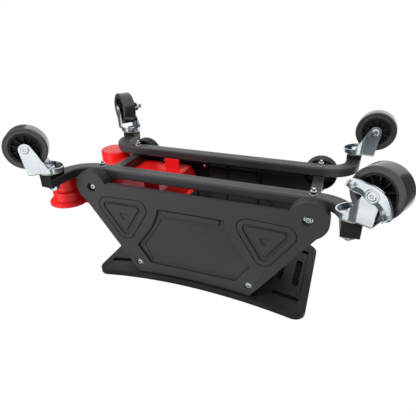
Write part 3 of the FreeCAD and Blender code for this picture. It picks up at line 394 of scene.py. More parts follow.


# Each finish's grime pair sets the painted shade in its inside corners
FINISHES: tuple[Finish, ...] = (
    Finish("black_steel", (0.026, 0.026, 0.028), (0.033, 0.033, 0.0355), (0.06, 0.06, 0.063),
           (0.28, 0.36), grain=(1500.0, 0.00004), patches=9.0,
           scuffs=0.08, rub=(0.0014, 0.2), edge=0.4 * MM, specular=0.4),
    Finish("panel_plastic", (0.0285, 0.0285, 0.031), (0.0345, 0.0345, 0.037), (0.06, 0.06, 0.063),
           (0.34, 0.42), grain=(2200.0, 0.00003), patches=7.0,
           scuffs=0.06, rub=(0.0022, 0.15), edge=0.5 * MM, specular=0.12, painted_shade=(0.009, 0.75)),
    Finish("seat_plastic", (0.009, 0.009, 0.0098), (0.013, 0.013, 0.014), (0.04, 0.04, 0.042),
           (0.28, 0.38), grain=(2200.0, 0.00003), patches=8.0,
           scuffs=0.08, rub=(0.0016, 0.2), edge=0.8 * MM, specular=0.16, painted_shade=(0.012, 0.9)),
    Finish("black_plastic", (0.009, 0.009, 0.0097), (0.013, 0.013, 0.0138), (0.035, 0.035, 0.036),
           (0.3, 0.42), grain=(2000.0, 0.00004), patches=12.0,
           scuffs=0.1, rub=(0.0012, 0.2), edge=0.8 * MM, specular=0.15),
    Finish("red_plastic", (0.73, 0.013, 0.013), (0.66, 0.01, 0.01), (0.85, 0.08, 0.07),
           (0.26, 0.36), grain=(900.0, 0.00003), patches=8.0, scuffs=0.05, rub=(0.0012, 0.2),
           edge=0.6 * MM, specular=0.35, coat=0.05, painted_shade=(0.004, 0.25)),
    PlatedMetal("zinc", (0.82, 0.86, 0.885), (0.7, 0.76, 0.795), (0.93, 0.93, 0.93),
                (0.12, 0.22), grain=(600.0, 0.00002), patches=35.0, scuffs=0.1,
                rub=(0.0006, 0.3), edge=0.3 * MM, metallic=1.0, painted_shade=(0.003, 0.95)),
    Finish("race_plastic", (0.62, 0.57, 0.4), (0.52, 0.48, 0.32), (0.72, 0.68, 0.54),
           (0.4, 0.5), grain=(1500.0, 0.00004), patches=30.0, scuffs=0.05, rub=(0.0006, 0.2),
           edge=0.3 * MM),
    Finish("tyre_rubber", (0.016, 0.016, 0.0168), (0.022, 0.022, 0.0228), (0.05, 0.05, 0.051),
           (0.2, 0.28), grain=(1700.0, 0.00003), patches=30.0,
           scuffs=0.1, rub=(0.0007, 0.2), edge=0.5 * MM, coat=0.6),
    Finish("core_plastic", (0.006, 0.006, 0.0065), (0.01, 0.01, 0.0105), (0.035, 0.035, 0.036),
           (0.32, 0.44), grain=(1800.0, 0.00005), patches=30.0,
           scuffs=0.08, rub=(0.0008, 0.25), edge=0.3 * MM, specular=0.3),
)


class Wardrobe:
    """Holds the built finishes by slot, and gives them to nodes and pieces."""

    def __init__(self) -> None:
        """Builds every finish once."""
        shelf = EffectShelf()
        self.materials = {finish.slot: finish.material(shelf) for finish in FINISHES}
        self.edges = {finish.slot: finish.edge for finish in FINISHES}
        self.slots = {row["node"]: row["material_slot"] for row in frame["record"]["subparts"]}

    def dress_node(self, name: str) -> None:
        """Gives a CAD node the finish of its slot and softens its edges.

        Args:
            name: name of the node.
        """
        node = frame["nodes"][name]
        slot = self.slots[name]
        for holder in node.material_slots:
            holder.material = self.materials[slot]
        weld = node.modifiers.new("weld", "WELD")
        weld.merge_threshold = WELD_GAP
        soften(node, self.edges[slot])

    def hang(self, piece: Piece, slot: str, body: str, stands_for: str = "") -> None:
        """Dresses a new piece, makes it ride and logs it.

        Args:
            piece: the piece.
            slot: its material slot.
            body: body that it rides on.
            stands_for: CAD node that it replaces, if any.
        """
        piece.data.materials.append(self.materials[slot])
        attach(piece, body)
        if stands_for:
            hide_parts(stands_for)
        LOG.info("made %s", piece.name)


# Surfaces


# Distance within which a CAD node's loose triangles are joined, and a new grid's doubled points
WELD_GAP = 0.01 * MM
MERGE_GAP = 0.001 * MM
# Segments of a softened edge, least angle in degrees of an edge that gets one, and weight of large faces
SOFT_SEGMENTS = 2
SOFT_ANGLE = 35.0
FLAT_WEIGHT = 80
# Places round a tyre, on its shoulder's arc, and round a small turned piece
TYRE_STEPS = 128
SHOULDER_STEPS = 9
ROUND_STEPS = 48


def soften(piece: Piece, width: float) -> None:
    """Rounds a piece's sharp edges and keeps its flat faces flat.

    Args:
        piece: the piece.
        width: width of the rounding in metres.
    """
    bevel = piece.modifiers.new("soft_edges", "BEVEL")
    bevel.width = width
    bevel.segments = SOFT_SEGMENTS
    bevel.limit_method = "ANGLE"
    bevel.angle_limit = math.radians(SOFT_ANGLE)
    bevel.use_clamp_overlap = False
    piece.modifiers.new("flat_faces", "WEIGHTED_NORMAL").weight = FLAT_WEIGHT


def surface(name: str, grid: np.ndarray, wrap: tuple[bool, bool], crease: float = 40.0) -> Piece:
    """Object from one grid of points, or several alike: each cell between four neighbours becomes a quad.

    Args:
        name: name of the piece.
        grid: points in rows and columns, of shape (rows, columns, 3), or (grids, rows, columns, 3).
        wrap: whether the last row joins the first, and the last column the first.
        crease: angle in degrees above which an edge stays sharp.

    Returns:
        The linked object, faces outward, or along row step cross column step where nothing wraps.
    """
    index = np.arange(grid.size // 3).reshape(-1, *grid.shape[-3:-1])
    if wrap[0]:
        index = np.concatenate([index, index[:, :1]], axis=1)
    if wrap[1]:
        index = np.concatenate([index, index[:, :, :1]], axis=2)
    cells = (index[:, :-1, :-1], index[:, 1:, :-1], index[:, 1:, 1:], index[:, :-1, 1:])
    quads = np.stack(cells, axis=-1).reshape(-1, 4)
    mesh = bpy.data.meshes.new(name)
    mesh.from_pydata(grid.reshape(-1, 3).tolist(), [], quads.tolist())
    merged = bmesh.new()
    merged.from_mesh(mesh)
    bmesh.ops.remove_doubles(merged, verts=merged.verts, dist=MERGE_GAP)
    if any(wrap):
        bmesh.ops.recalc_face_normals(merged, faces=merged.faces)
    merged.to_mesh(mesh)
    merged.free()
    mesh.polygons.foreach_set("use_smooth", np.ones(len(mesh.polygons), dtype=bool))
    mesh.set_sharp_from_angle(angle=math.radians(crease))
    piece = bpy.data.objects.new(name, mesh)
    bpy.context.scene.collection.objects.link(piece)
    return piece


def revolved(profile: np.ndarray, centre: Vector, axis: Vector, steps: int) -> np.ndarray:
    """Grid of a profile turned about an axis: centre + axis * a + (side * cos t + across * sin t) * r.

    Args:
        profile: rows of (a, r), the place along the axis and the distance from it.
        centre: point on the axis where a is zero.
        axis: direction of the axis.
        steps: places round the turn.

    Returns:
        Points of shape (steps, len(profile), 3).
    """
    ahead = np.array(axis.normalized())
    side = np.array(axis.orthogonal().normalized())
    across = np.cross(ahead, side)
    turn = np.linspace(0.0, 2 * np.pi, steps, endpoint=False)[:, None, None]
    round_the_axis = side * np.cos(turn) + across * np.sin(turn)
    return np.array(centre) + profile[None, :, :1] * ahead + profile[None, :, 1:] * round_the_axis


def open_curve(corners: np.ndarray, steps: int) -> np.ndarray:
    """Smooth curve through corners: each span is the cubic set by its two corners and their neighbours.

    Args:
        corners: points of shape (corners, values) in order.
        steps: points on each span.

    Returns:
        Points of shape ((corners - 1) * steps + 1, values).
    """
    padded = np.vstack([2 * corners[:1] - corners[1:2], corners, 2 * corners[-1:] - corners[-2:-1]])
    t = np.linspace(0.0, 1.0, steps, endpoint=False)[None, :, None]
    before, start, end, after = (padded[place:len(padded) - 3 + place, None, :] for place in range(4))
    curve = 0.5 * (2 * start + (end - before) * t + (2 * before - 5 * start + 4 * end - after) * t ** 2
                   + (3 * start - before - 3 * end + after) * t ** 3)
    return np.vstack([curve.reshape(-1, corners.shape[1]), corners[-1:]])


# Casters


# Half section of a tyre from its bead to its shoulder: out from the side and up from the bore, in millimetres
TYRE_SIDE = ((-1.3, 0.0), (-0.3, 0.5), (0.0, 1.2), (0.0, 1.9), (-0.4, 2.4), (-0.35, 6.7), (-0.05, 7.1))
# Rows of a fork's wall on its round end, leg, front slope, nose and crown's edge, and columns on bowl and leg
FORK_ROWS = (12, 24, 12, 7, 7)
FORK_COLUMNS = (28, 9)
CROWN_SLICES = 48
THREAD_ROWS = 49
# Middle line of the rocker, from one tip to the other: along, up and half its width there, in millimetres
ROCKER_MIDDLES = ((-38.3, -5.6, 0.3), (-36.0, -5.8, 5.4), (-28.5, -6.0, 8.9), (-14.5, -4.8, 9.7),
                  (-1.0, -0.6, 12.4), (11.5, 5.0, 10.8), (20.5, 18.5, 8.3), (23.9, 26.5, 5.0),
                  (25.0, 29.2, 0.3))
# Steps of the line between two of its points, and points across the rocker
ROCKER_STEPS = 14
ROCKER_COLUMNS = 33
# Where the flank's slope starts: half the rocker's width in millimetres, and the share of it
ROCKER_LEDGES = ((9.0, -0.1), (12.4, 0.5))
# Rims on the rocker: along, up, radius and height, in millimetres
ROCKER_RIMS = ((-28.0, -5.0, 3.8, 1.8), (-24.0, -10.0, 2.8, 1.4), (0.0, 0.0, 10.2, 0.8),
               (17.5, 16.5, 3.8, 1.8))
# Section of a rim: share of its height, and millimetres out from its radius
RIM_SECTION = ((-3.5, 0.0), (0.1, -0.1), (0.9, -0.5), (1.0, -0.8), (0.8, -1.1), (0.1, -1.3))
JOINTS: dict[str, dict[str, Any]] = {joint["name"]: joint for joint in frame["joints"]}


@dataclass
class Caster:
    """Detail of one swivel caster: tyre, pressed fork, stem thread and the brake rocker's pressed skin.

    Args:
        name: the caster's corner.
        wheel_radius: outside of the tyre.
        tyre_half: half the tyre's width.
        bore: radius where the tyre meets its core.
        shoulder: radius of the tyre's shoulders.
        fork_half: half the fork's width, outside.
        sheet: thickness of the fork's sheet.
        crown_top: level of the fork's crown.
        crown_round: radius of the edge between crown and wall.
        rim_level: level of the rim of the bowl that the wall forms in front.
        knee_along: place behind the stem where the bowl's low wall ends and the legs begin.
        knee_level: level of the wall's edge there.
        bowl_radius: radius of the bowl about the stem.
        crown_rear: rear of the legs at the crown.
        eye_radius: radius of the legs' round ends.
        stem_radius: foot of the stem's thread.
        thread_low: level where the thread starts, inside the nut.
        thread_high: level of the stem's end.
        pitch: rise of the thread in one turn.
        thread_height: height of the thread on its foot.
        tip_rise: rise of the stem's flat tip above the thread.
        tip_share: share of the stem's radius that the tip has.
        rocker_face: distance of the rocker's outer face from the wheel's middle.
        rocker_foot: how far the rocker's skin turns down over its edge.
        rocker_dome: how far the skin stands out in the middle.
        rocker_full: half the rocker's width at which the skin reaches its full height.
        rocker_fall: how far the upper flank slopes down to the rocker's edge.
        rocker_power: power that makes the section flat in the middle and steep at the edge.
    """

    name: str
    wheel_radius: float = 37.5 * MM
    tyre_half: float = 14.5 * MM
    bore: float = 27.55 * MM
    shoulder: float = 1.9 * MM
    fork_half: float = 19.5 * MM
    sheet: float = 2.2 * MM
    crown_top: float = 86.2 * MM
    crown_round: float = 2.0 * MM
    rim_level: float = 78.5 * MM
    knee_along: float = 1.0 * MM
    knee_level: float = 75.0 * MM
    bowl_radius: float = 24.6 * MM
    crown_rear: float = 37.0 * MM
    eye_radius: float = 11.0 * MM
    stem_radius: float = 4.95 * MM
    thread_low: float = 121.0 * MM
    thread_high: float = 127.0 * MM
    pitch: float = 1.25 * MM
    thread_height: float = 0.35 * MM
    tip_rise: float = 0.2 * MM
    tip_share: float = 0.8
    rocker_face: float = 22.0 * MM
    rocker_foot: float = 2.2 * MM
    rocker_dome: float = 3.0 * MM
    rocker_full: float = 8.0 * MM
    rocker_fall: float = 2.7 * MM
    rocker_power: int = 24

    def __post_init__(self) -> None:
        """Finds the caster's place and directions from its joints."""
        roll = JOINTS[self.name + "_wheel_roll"]
        self.axle = Vector(roll["pos_m"])
        self.across = Vector(roll["axis"])
        self.stem = Vector(JOINTS[self.name + "_swivel_turn"]["pos_m"])
        self.stem.z = 0.0
        self.trail = (self.axle - self.stem).xy.length
        self.ahead = Vector(UP).cross(self.across) * -1.0

    def build(self, wardrobe: Wardrobe) -> None:
        """Makes, dresses and hangs the caster's pieces.

        Args:
            wardrobe: where the finishes come from.
        """
        name = self.name
        wardrobe.hang(self.make_tyre(), "tyre_rubber", name + "_wheel", name + "_caster_tyre")
        wardrobe.hang(self.make_fork_walls(), "zinc", name + "_swivel", name + "_caster_fork")
        wardrobe.hang(self.make_crown(), "zinc", name + "_swivel")
        wardrobe.hang(self.make_thread(), "zinc", "frame")
        if name + "_brake_rock" in JOINTS:
            for piece in (self.make_rocker_skin(), self.make_rims()):
                wardrobe.hang(piece, "zinc", name + "_brake")

    def make_tyre(self) -> Piece:
        """Tyre: a section of bead, smooth side, raised shoulder ring and flat tread, turned on the axle.

        Returns:
            The piece.
        """
        side = np.array(TYRE_SIDE) * MM + (self.tyre_half, self.bore)
        turn = np.linspace(0.0, 0.5 * np.pi, SHOULDER_STEPS)
        round_off = np.stack([self.tyre_half - self.shoulder * (1.0 - np.cos(turn)),
                              self.wheel_radius - self.shoulder * (1.0 - np.sin(turn))], axis=-1)
        half = np.vstack([side, round_off])
        section = np.vstack([half, half[::-1] * (-1.0, 1.0)])
        grid = revolved(section, self.axle, self.across, TYRE_STEPS)
        return surface(self.name + "_tyre", grid, (True, True), crease=30.0)

    def placed(self, along: np.ndarray, across: np.ndarray, level: np.ndarray) -> np.ndarray:
        """Points from places along the caster from its stem, across it and above the floor."""
        flat = along[..., None] * np.array(self.ahead) + across[..., None] * np.array(self.across)
        return np.array(self.stem) + flat + level[..., None] * np.array(UP)

    def touch(self, along: float, level: float, side: float) -> np.ndarray:
        """Finds where a line touches the round end of a leg.

        Args:
            along: place along the caster where the line starts.
            level: level there.
            side: -1 for the leg's front, 1 for its rear.

        Returns:
            Place along the caster and level.
        """
        gap = np.array([along - self.trail, level - self.axle.z])
        turn = np.arctan2(gap[1], gap[0]) - side * np.arccos(self.eye_radius / np.linalg.norm(gap))
        return np.array([self.trail, self.axle.z]) + self.eye_radius * np.array([np.cos(turn), np.sin(turn)])

    def crease(self, inset: np.ndarray | float) -> np.ndarray:
        """Place along the caster where the round bowl meets the legs' flat sides, for an inset wall."""
        return np.sqrt((self.bowl_radius - inset) ** 2 - (self.fork_half - inset) ** 2)

    def half_width(self, along: np.ndarray, inset: np.ndarray | float) -> np.ndarray:
        """Half the wall's width: a circle about the stem in front of the crease, flat behind it."""
        bowl = np.sqrt(np.clip((self.bowl_radius - inset) ** 2 - along ** 2, 0.0, None))
        return np.where(along < self.crease(inset), bowl, self.fork_half - inset)

    def make_fork_walls(self) -> Piece:
        """Fork's two walls: rows of levels, each from front edge to rear edge, outside and back inside.

        The front edge is the bowl's nose above the rim, a gentle slope to the knee, then a straight cut down
        to the round end. The rear edge is straight. Each wall closes to a line at its end and at the crown.

        Returns:
            The piece.
        """
        end_rows, leg_rows, slope_rows, nose_rows, edge_rows = FORK_ROWS
        front = self.touch(self.knee_along, self.knee_level, -1.0)
        rear = self.touch(self.crown_rear, self.crown_top, 1.0)
        end_turn = np.linspace(0.0, 0.5 * np.pi, end_rows)
        corner_turn = np.linspace(0.0, 0.5 * np.pi, edge_rows)[1:]
        corner_low = self.crown_top - self.crown_round
        level = np.concatenate([self.axle.z - self.eye_radius * np.cos(end_turn),
                                np.linspace(self.axle.z, self.knee_level, leg_rows)[1:],
                                np.linspace(self.knee_level, self.rim_level, slope_rows)[1:],
                                np.linspace(self.rim_level, corner_low, nose_rows)[1:],
                                corner_low + self.crown_round * np.sin(corner_turn)])
        rounded = np.sqrt(np.clip(self.eye_radius ** 2 - (level - self.axle.z) ** 2, 0.0, None))
        lead = np.interp(level, [front[1], self.knee_level, self.rim_level],
                         [front[0], self.knee_along, -self.bowl_radius])
        lead = np.where(level < front[1], self.trail - rounded, lead)[:, None]
        tail = np.interp(level, [rear[1], self.crown_top], [rear[0], self.crown_rear])
        tail = np.where(level < rear[1], self.trail + rounded, tail)[:, None]
        above = np.clip(level - corner_low, 0.0, self.crown_round)
        corner = (self.crown_round - np.sqrt(self.crown_round ** 2 - above ** 2))[:, None]
        bowl_share = np.linspace(0.0, 1.0, FORK_COLUMNS[0])[None, :] ** 2
        flat_share = np.linspace(0.0, 1.0, FORK_COLUMNS[1])[None, 1:]
        faces = []
        for inset in (corner, corner + self.sheet):
            start = np.maximum(lead, inset - self.bowl_radius)
            bend = np.clip(self.crease(inset), start, tail)
            along = np.hstack([start + (bend - start) * bowl_share, bend + (tail - bend) * flat_share])
            faces.append(np.stack([along, self.half_width(along, inset)]))
        outside, inside = faces
        middle = (outside[:, -1:] + inside[:, -1:]) / 2
        ring = np.concatenate([outside, inside[:, :, ::-1]], axis=2)
        seam = np.concatenate([middle, middle[:, :, ::-1]], axis=2)
        along, across = np.concatenate([ring, seam], axis=1)
        level = np.broadcast_to(np.append(level, self.crown_top)[:, None], along.shape)
        grid = np.stack([self.placed(along, side * across, level) for side in (-1.0, 1.0)])
        return surface(self.name + "_fork_walls", grid, (False, True), crease=20.0)

    def make_crown(self) -> Piece:
        """Crown plate inside the walls: flat box sections from nose to rear, closed at both ends.

        Returns:
            The piece.
        """
        nose = self.crown_round - self.bowl_radius
        along = nose + (self.crown_rear - nose) * np.linspace(0.0, 1.0, CROWN_SLICES)[:, None] ** 2
        half = self.half_width(along, self.crown_round)
        across = half * np.array([1.0, -1.0, -1.0, 1.0])
        level = self.crown_top - self.sheet * np.array([0.0, 0.0, 1.0, 1.0])
        grid = self.placed(np.broadcast_to(along, across.shape), across, np.broadcast_to(level, across.shape))
        ends = np.broadcast_to(grid[[0, -1]].mean(axis=1, keepdims=True), (2, *grid.shape[1:]))
        grid = np.concatenate([ends[:1], grid, ends[1:]])
        return surface(self.name + "_fork_crown", grid, (False, True), crease=20.0)

    def make_thread(self) -> Piece:
        """Thread on the stem's end: a radius that rises and falls once a pitch, and turns, to a closed tip.

        Returns:
            The piece.
        """
        level = np.linspace(self.thread_low, self.thread_high, THREAD_ROWS)[None, :]
        turn = np.linspace(0.0, 2 * np.pi, ROUND_STEPS, endpoint=False)[:, None]
        phase = (level / self.pitch - turn / (2 * np.pi)) % 1.0
        taper = np.clip((self.thread_high - level) / self.pitch, 0.0, 1.0)
        radius = self.stem_radius + 2 * self.thread_height * np.abs(phase - 0.5) * taper
        tip = np.full_like(turn, self.thread_high + self.tip_rise)
        level = np.hstack([np.broadcast_to(level, radius.shape), tip, tip])
        tip_edge = np.full_like(turn, self.tip_share * self.stem_radius)
        radius = np.hstack([radius, tip_edge, np.zeros_like(turn)])
        x = self.stem.x + radius * np.cos(turn)
        y = self.stem.y + radius * np.sin(turn)
        grid = np.stack([x, y, level], axis=-1)
        return surface(self.name + "_stem_thread", grid, (True, False), crease=60.0)

    def make_rocker_skin(self) -> Piece:
        """Pressed skin of the rocker: a domed section carried along its middle line, as wide as the rocker.

        Across the section, at a share v from -1 to 1, it stands (foot + dome) * (1 - v^power) above its foot,
        less a straight slope over the upper flank, which is narrow at the axle and wide on the wings. At the
        rocker's narrow tips all of it stands lower.

        Returns:
            The piece.
        """
        line = open_curve(np.array(ROCKER_MIDDLES) * MM, ROCKER_STEPS)
        middle, half = line[:, None, :2], line[:, None, 2:]
        run = np.gradient(line[:, :2], axis=0)
        run /= np.linalg.norm(run, axis=1, keepdims=True)
        side = np.stack([-run[:, 1], run[:, 0]], axis=-1)[:, None, :]
        share = -np.cos(np.linspace(0.0, np.pi, ROCKER_COLUMNS))[None, :, None]
        flat = middle + side * half * share
        foot = self.rocker_face - self.rocker_foot
        ledge = np.interp(half, *np.array(ROCKER_LEDGES).T * ((MM,), (1.0,)))
        slope = np.clip((share - ledge) / (1.0 - ledge), 0.0, 1.0)
        rise = (self.rocker_foot + self.rocker_dome) * (1.0 - share ** self.rocker_power)
        rise = np.clip(rise - self.rocker_fall * slope, 0.0, None)
        out = foot + rise * np.sqrt(np.clip(half / self.rocker_full, 0.0, 1.0))
        top = self.rocker_points(flat, out)
        back = self.rocker_points(flat[:, ::-1], np.full_like(out, foot))
        grid = np.concatenate([top, back], axis=1)
        return surface(self.name + "_rocker_skin", grid, (False, True), crease=50.0)

    def make_rims(self) -> Piece:
        """Pressed rims on the rocker: a raised ring with a sunk floor, turned about each middle.

        Returns:
            The piece.
        """
        out = np.array([self.rocker_face + self.rocker_dome])
        grids = []
        for along, up, radius, height in np.array(ROCKER_RIMS) * MM:
            ring = np.array(RIM_SECTION) * (height, MM) + (0.0, radius)
            section = np.vstack([ring, (ring[-1, 0], 0.0), (ring[0, 0], 0.0)])
            centre = Vector(self.rocker_points(np.array([along, up]), out))
            grids.append(revolved(section, centre, self.across, ROUND_STEPS))
        return surface(self.name + "_rocker_rims", np.stack(grids), (True, False), crease=40.0)

    def rocker_points(self, flat: np.ndarray, out: np.ndarray) -> np.ndarray:
        """Points from places in the rocker's plane, from the axle, and distances out from the wheel."""
        place = flat[..., :1] * np.array(self.ahead) + flat[..., 1:] * np.array(UP)
        return np.array(self.axle) + place + out * np.array(self.across)


# Seat


# Slots at one end of the seat: middle along and across the stool and length of the throat in millimetres,
# number of webs, and whether the slot runs along the stool
SLOTS = {"handle": (191.5, 0.0, 82.5, 8, False), "cross": (157.0, 0.0, 76.5, 7, False),
         "front_long": (179.5, -83.0, 45.5, 4, True), "rear_long": (179.5, 83.0, 45.5, 4, True)}


@dataclass
class SlotShadeFill:
    """Dark fill for the shade in the seat's tool slots: thin webs across each throat, two ribs along it.

    Args:
        arch_centre: level of the middle of the seat's dished curve.
        underside: radius of the seat's underside about it.
        thickness: thickness of the seat.
        sink: distance of the upper edges from the seat's top.
        web_drop: distance of a web's lower edge from the underside.
        web_span: length of a web, across the slot.
        web: thickness of a web.
        pitch: distance between webs.
        rib_drop: distance of a rib's lower edge from the underside.
        rib: thickness of a rib.
        spread: distance of a rib from the slot's middle line.
    """

    arch_centre: float = 1397.0 * MM
    underside: float = 1100.0 * MM
    thickness: float = 14.5 * MM
    sink: float = 1.5 * MM
    web_drop: float = 5.0 * MM
    web_span: float = 7.4 * MM
    web: float = 1.6 * MM
    pitch: float = 9.5 * MM
    rib_drop: float = 3.0 * MM
    rib: float = 1.0 * MM
    spread: float = 1.4 * MM

    def build(self, wardrobe: Wardrobe) -> None:
        """Makes the webs and ribs of every slot at both ends of the seat, one piece for each slot.

        Args:
            wardrobe: where the finish comes from.
        """
        for side, end in ((1.0, "right"), (-1.0, "left")):
            for name, (x, y, length, count, along_x) in SLOTS.items():
                middle = np.array((side * x, y)) * MM
                places = np.stack([(np.arange(count) - (count - 1) / 2) * self.pitch, np.zeros(count)])
                webs = self.bars(middle, along_x, places, (self.web, self.web_span), self.web_drop)
                places = np.array([(0.0, 0.0), (-self.spread, self.spread)])
                ribs = self.bars(middle, along_x, places, (length * MM, self.rib), self.rib_drop)
                grids = np.concatenate([webs, ribs])
                # Stands in for shade: dark webs and ribs that close the view through the slot
                piece = surface(f"{end}_{name}_slot_shade_fill", grids, (False, True), crease=30.0)
                wardrobe.hang(piece, "seat_plastic", "frame")

    def bars(self, middle: np.ndarray, along_x: bool, places: np.ndarray, size: tuple[float, float],
             drop: float) -> np.ndarray:
        """Grids of upright bars: a box section carried across the slot, closed to a point at both ends.

        Args:
            middle: middle of the slot, along the stool and across it.
            along_x: whether the slot runs along the stool.
            places: middles of the bars, along the slot and across it.
            size: size of a bar along the slot and across it.
            drop: distance of the bars' lower edges from the seat's underside.

        Returns:
            Points of shape (bars, 4, 4, 3).
        """
        open_end = np.array([0.0, 1.0, 1.0, 0.0])[None, :, None]
        corner_high = np.array([False, False, True, True])
        run = places[0][:, None, None] + open_end * np.array([-0.5, 0.5, 0.5, -0.5]) * size[0]
        side = np.broadcast_to(np.array([-0.5, -0.5, 0.5, 0.5])[None, :, None] * size[1], run.shape)
        side = side + places[1][:, None, None]
        x = middle[0] + (run if along_x else side)
        y = middle[1] + (side if along_x else run)
        low = self.arch_centre - np.sqrt(self.underside ** 2 - x ** 2) + drop
        high = self.arch_centre - np.sqrt((self.underside - self.thickness) ** 2 - x ** 2) - self.sink
        level = np.where(open_end > 0.0, np.where(corner_high, high, low), (low + high) / 2)
        return np.stack([x, y, level], axis=-1)


# Fasteners


@dataclass
class Washers:
    """Plated washers under the heads of one row of bolts, found from the bolts' box.

    Args:
        bolts: CAD node with four bolts across the stool.
        head: height of a bolt's head.
        outer: radius of a washer.
        thickness: thickness of a washer.
        edge: rounding of its edge.
    """

    bolts: str
    head: float = 4.0 * MM
    outer: float = 8.4 * MM
    thickness: float = 1.1 * MM
    edge: float = 0.4 * MM

    def build(self, wardrobe: Wardrobe) -> None:
        """Makes the four washers as one piece: a flat round section turned about each bolt.

        Args:
            wardrobe: where the finish comes from.
        """
        low, high = (Vector(corner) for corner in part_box(self.bolts))
        head = (high.z - low.z) / 2
        inner = head - self.edge
        section = np.array([(0.0, inner), (self.thickness, inner), (self.thickness, self.outer - self.edge),
                            (self.thickness - self.edge, self.outer), (0.0, self.outer)])
        grids = [revolved(section, Vector((x, y - side * self.head, (low.z + high.z) / 2)),
                          Vector((0.0, side, 0.0)), ROUND_STEPS)
                 for x in (low.x + head, high.x - head) for side, y in ((-1.0, low.y), (1.0, high.y))]
        piece = surface(self.bolts + "_washers", np.stack(grids), (True, True), crease=35.0)
        wardrobe.hang(piece, "zinc", "frame")


# Studio


@dataclass(frozen=True)
class Lamp:
    """Square soft lamp that leaves no hot spot in the plating.

    Args:
        name: name of the lamp.
        place: where it stands.
        side: side of the square.
        power: light in watts.
    """

    name: str
    place: Place
    side: float
    power: float

    def build(self, target: Vector) -> None:
        """Makes the lamp.

        Args:
            target: point that it faces.
        """
        data = bpy.data.lights.new(self.name, "AREA")
        data.size = self.side
        data.energy = self.power
        lamp = bpy.data.objects.new(self.name, data)
        lamp.visible_glossy = False
        lamp.location = self.place
        lamp.rotation_euler = (target - Vector(self.place)).to_track_quat("-Z", "Y").to_euler()
        bpy.context.scene.collection.objects.link(lamp)


@dataclass(frozen=True)
class Card:
    """Flat grey card that only shows in reflections.

    Args:
        name: name of the card.
        middle: its centre.
        across: half of one side.
        up: half of the other.
        tones: its darkest and lightest colours.
        patches: patches of tone in a metre.
    """

    name: str
    middle: Place
    across: Place
    up: Place
    tones: tuple[Colour, Colour] = ((0.085, 0.1, 0.115), (0.145, 0.165, 0.185))
    patches: float = 2.0

    def build(self) -> None:
        """Makes the card: middle + across * u + up * v for u and v from -1 to 1."""
        u, v = np.meshgrid([-1.0, 1.0], [-1.0, 1.0], indexing="ij")
        grid = np.array(self.middle) + u[..., None] * np.array(self.across) + v[..., None] * np.array(self.up)
        card = surface(self.name, grid, (False, False))
        material, graph = new_material(self.name + "_paint")
        place = graph.add("TexCoord").outputs["Object"]
        tone = graph.blend(graph.noise(place, self.patches), *self.tones)
        glow = graph.add("Emission", {"Color": tone, "Strength": 1.0})
        graph.add("OutputMaterial", {"Surface": glow.outputs[0]})
        card.data.materials.append(material)
        card.visible_camera = False
        card.visible_diffuse = False
        card.visible_shadow = False
        card.visible_transmission = False


LAMPS = (Lamp("lamp_below", (0.75, -1.35, -1.7), 1.0, 57.0),
         Lamp("lamp_above", (0.3, -0.6, 2.2), 1.6, 36.0),
         Lamp("lamp_behind", (-0.6, 1.8, 0.9), 1.2, 14.0),
         Lamp("lamp_front", (1.2, -1.5, 0.3), 1.2, 30.0))
CARDS = (Card("right_card", (1.1, -0.05, 0.4), (0.0, 0.8, 0.0), (0.0, 0.0, 0.9)),
         Card("left_card", (-1.1, 0.0, 0.1), (0.0, 0.7, 0.0), (0.0, 0.0, 0.65)),
         Card("near_card", (-0.24, -0.6, 0.25), (0.2, 0.0, 0.0), (0.0, 0.0, 0.13)),
         Card("top_card", (0.2, -0.5, 1.3), (1.2, 0.0, 0.0), (0.0, 1.1, 0.0)))


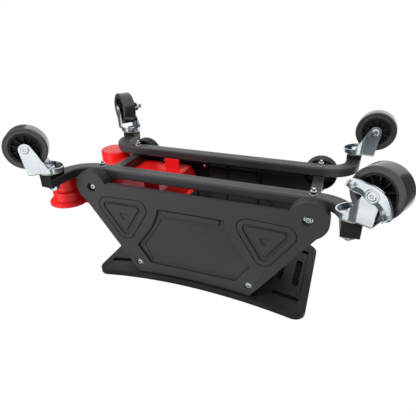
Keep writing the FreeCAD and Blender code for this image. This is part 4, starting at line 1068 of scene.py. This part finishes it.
@dataclass
class Studio:
    """Plain pale floor, soft lamps, reflection cards, white background and the camera.

    Args:
        eye: the camera's place.
        gaze: direction it looks in.
        crown: direction of the picture's upper edge.
        lens: focal length in millimetres.
        sensor: width of the picture on the sensor in millimetres.
        near: distance at which the view starts.
        target: point that the lamps face.
        ambient: strength of the even light from all round.
        floor_half: half the floor's side.
        floor_level: level of the floor.
        fade: distances from the middle between which the floor fades out.
        floor_tones: the floor's two colours.
        floor_patches: patches of tone on the floor in a metre.
        floor_glow: share of the floor's own light.
    """

    eye: Place = (-0.23524, -0.64719, -0.16705)
    gaze: Place = (0.31137, 0.82990, 0.46294)
    crown: Place = (0.15141, 0.43761, -0.88633)
    lens: float = 31.74
    sensor: float = 36.0
    near: float = 0.01
    target: Place = (0.0, 0.0, 0.17)
    ambient: float = 0.35
    floor_half: float = 4.0
    floor_level: float = -0.5 * MM
    fade: Span = (0.7, 2.2)
    floor_tones: tuple[Colour, Colour] = ((0.86, 0.86, 0.86), (0.9, 0.9, 0.9))
    floor_patches: float = 3.0
    floor_glow: float = 0.45

    def build(self) -> None:
        """Makes every part of the studio."""
        bpy.context.scene.view_settings.view_transform = "Standard"
        self.make_camera()
        self.make_world()
        self.make_floor()
        for lamp in LAMPS:
            lamp.build(Vector(self.target))
        for card in CARDS:
            card.build()

    def make_camera(self) -> None:
        """Camera at the photograph's viewing angle."""
        data = bpy.data.cameras.new("camera")
        data.sensor_width = self.sensor
        data.lens = self.lens
        data.clip_start = self.near
        camera = bpy.data.objects.new("camera", data)
        back = -Vector(self.gaze).normalized()
        right = Vector(self.crown).cross(back).normalized()
        up = back.cross(right)
        turn = Matrix((right, up, back)).transposed().to_4x4()
        camera.matrix_world = Matrix.Translation(self.eye) @ turn
        bpy.context.scene.collection.objects.link(camera)
        bpy.context.scene.camera = camera

    def make_world(self) -> None:
        """White to the camera, to reflections and through clear parts, and an even grey light otherwise."""
        world = bpy.data.worlds.new("studio")
        world.use_nodes = True
        bpy.context.scene.world = world
        graph = NodeGraph(world.node_tree)
        rays = graph.add("LightPath").outputs
        seen = graph.math("MAXIMUM", rays["Is Camera Ray"], rays["Is Glossy Ray"])
        seen = graph.math("MAXIMUM", seen, rays["Is Transmission Ray"])
        strength = graph.remap(seen, FULL, (self.ambient, 1.0))
        light = graph.add("Background", {"Color": (1.0, 1.0, 1.0), "Strength": strength})
        graph.add("OutputWorld", {"Surface": light.outputs[0]})

    def make_floor(self) -> None:
        """Pale floor with the stool's shadow, clear from below, far out and to rays not from the camera."""
        steps = self.floor_half * np.array([-1.0, 0.0, 1.0])
        x, y = np.meshgrid(steps, steps, indexing="ij")
        grid = np.stack([x, y, np.full_like(x, self.floor_level)], axis=-1)
        floor = surface("floor", grid, (False, False))
        material, graph = new_material("pale_floor")
        place = graph.add("TexCoord").outputs["Object"]
        away = graph.add("VectorMath", {0: place}, operation="LENGTH").outputs["Value"]
        fade = graph.remap(away, self.fade, FULL)
        hidden = graph.math("SUBTRACT", 1.0, graph.add("LightPath").outputs["Is Camera Ray"])
        hidden = graph.math("MAXIMUM", hidden, graph.add("NewGeometry").outputs["Backfacing"])
        hidden = graph.math("MAXIMUM", hidden, fade)
        tone = graph.blend(graph.noise(place, self.floor_patches), *self.floor_tones)
        matt = graph.add("BsdfDiffuse", {"Color": tone}).outputs[0]
        lit = graph.add("Emission", {"Color": tone, "Strength": 1.0}).outputs[0]
        paint = graph.add("MixShader", {0: self.floor_glow, 1: matt, 2: lit}).outputs[0]
        clear = graph.add("BsdfTransparent").outputs[0]
        both = graph.add("MixShader", {0: hidden, 1: paint, 2: clear})
        graph.add("OutputMaterial", {"Surface": both.outputs[0]})
        floor.data.materials.append(material)


# Assembly


def main() -> None:
    """Builds the studio, dresses the nodes and adds the pieces."""
    logging.basicConfig(level=logging.INFO)
    Studio().build()
    wardrobe = Wardrobe()
    for name in frame["nodes"]:
        wardrobe.dress_node(name)
    LOG.info("dressed %d nodes", len(frame["nodes"]))
    for name in ("front_right", "front_left", "rear_left", "rear_right"):
        Caster(name).build(wardrobe)
    # Dark fill standing in for the shade seen through the seat's slots
    SlotShadeFill().build(wardrobe)
    for bolts in ("ear_bolts", "seat_bolts"):
        Washers(bolts).build(wardrobe)


if __name__ == "__main__":
    main()
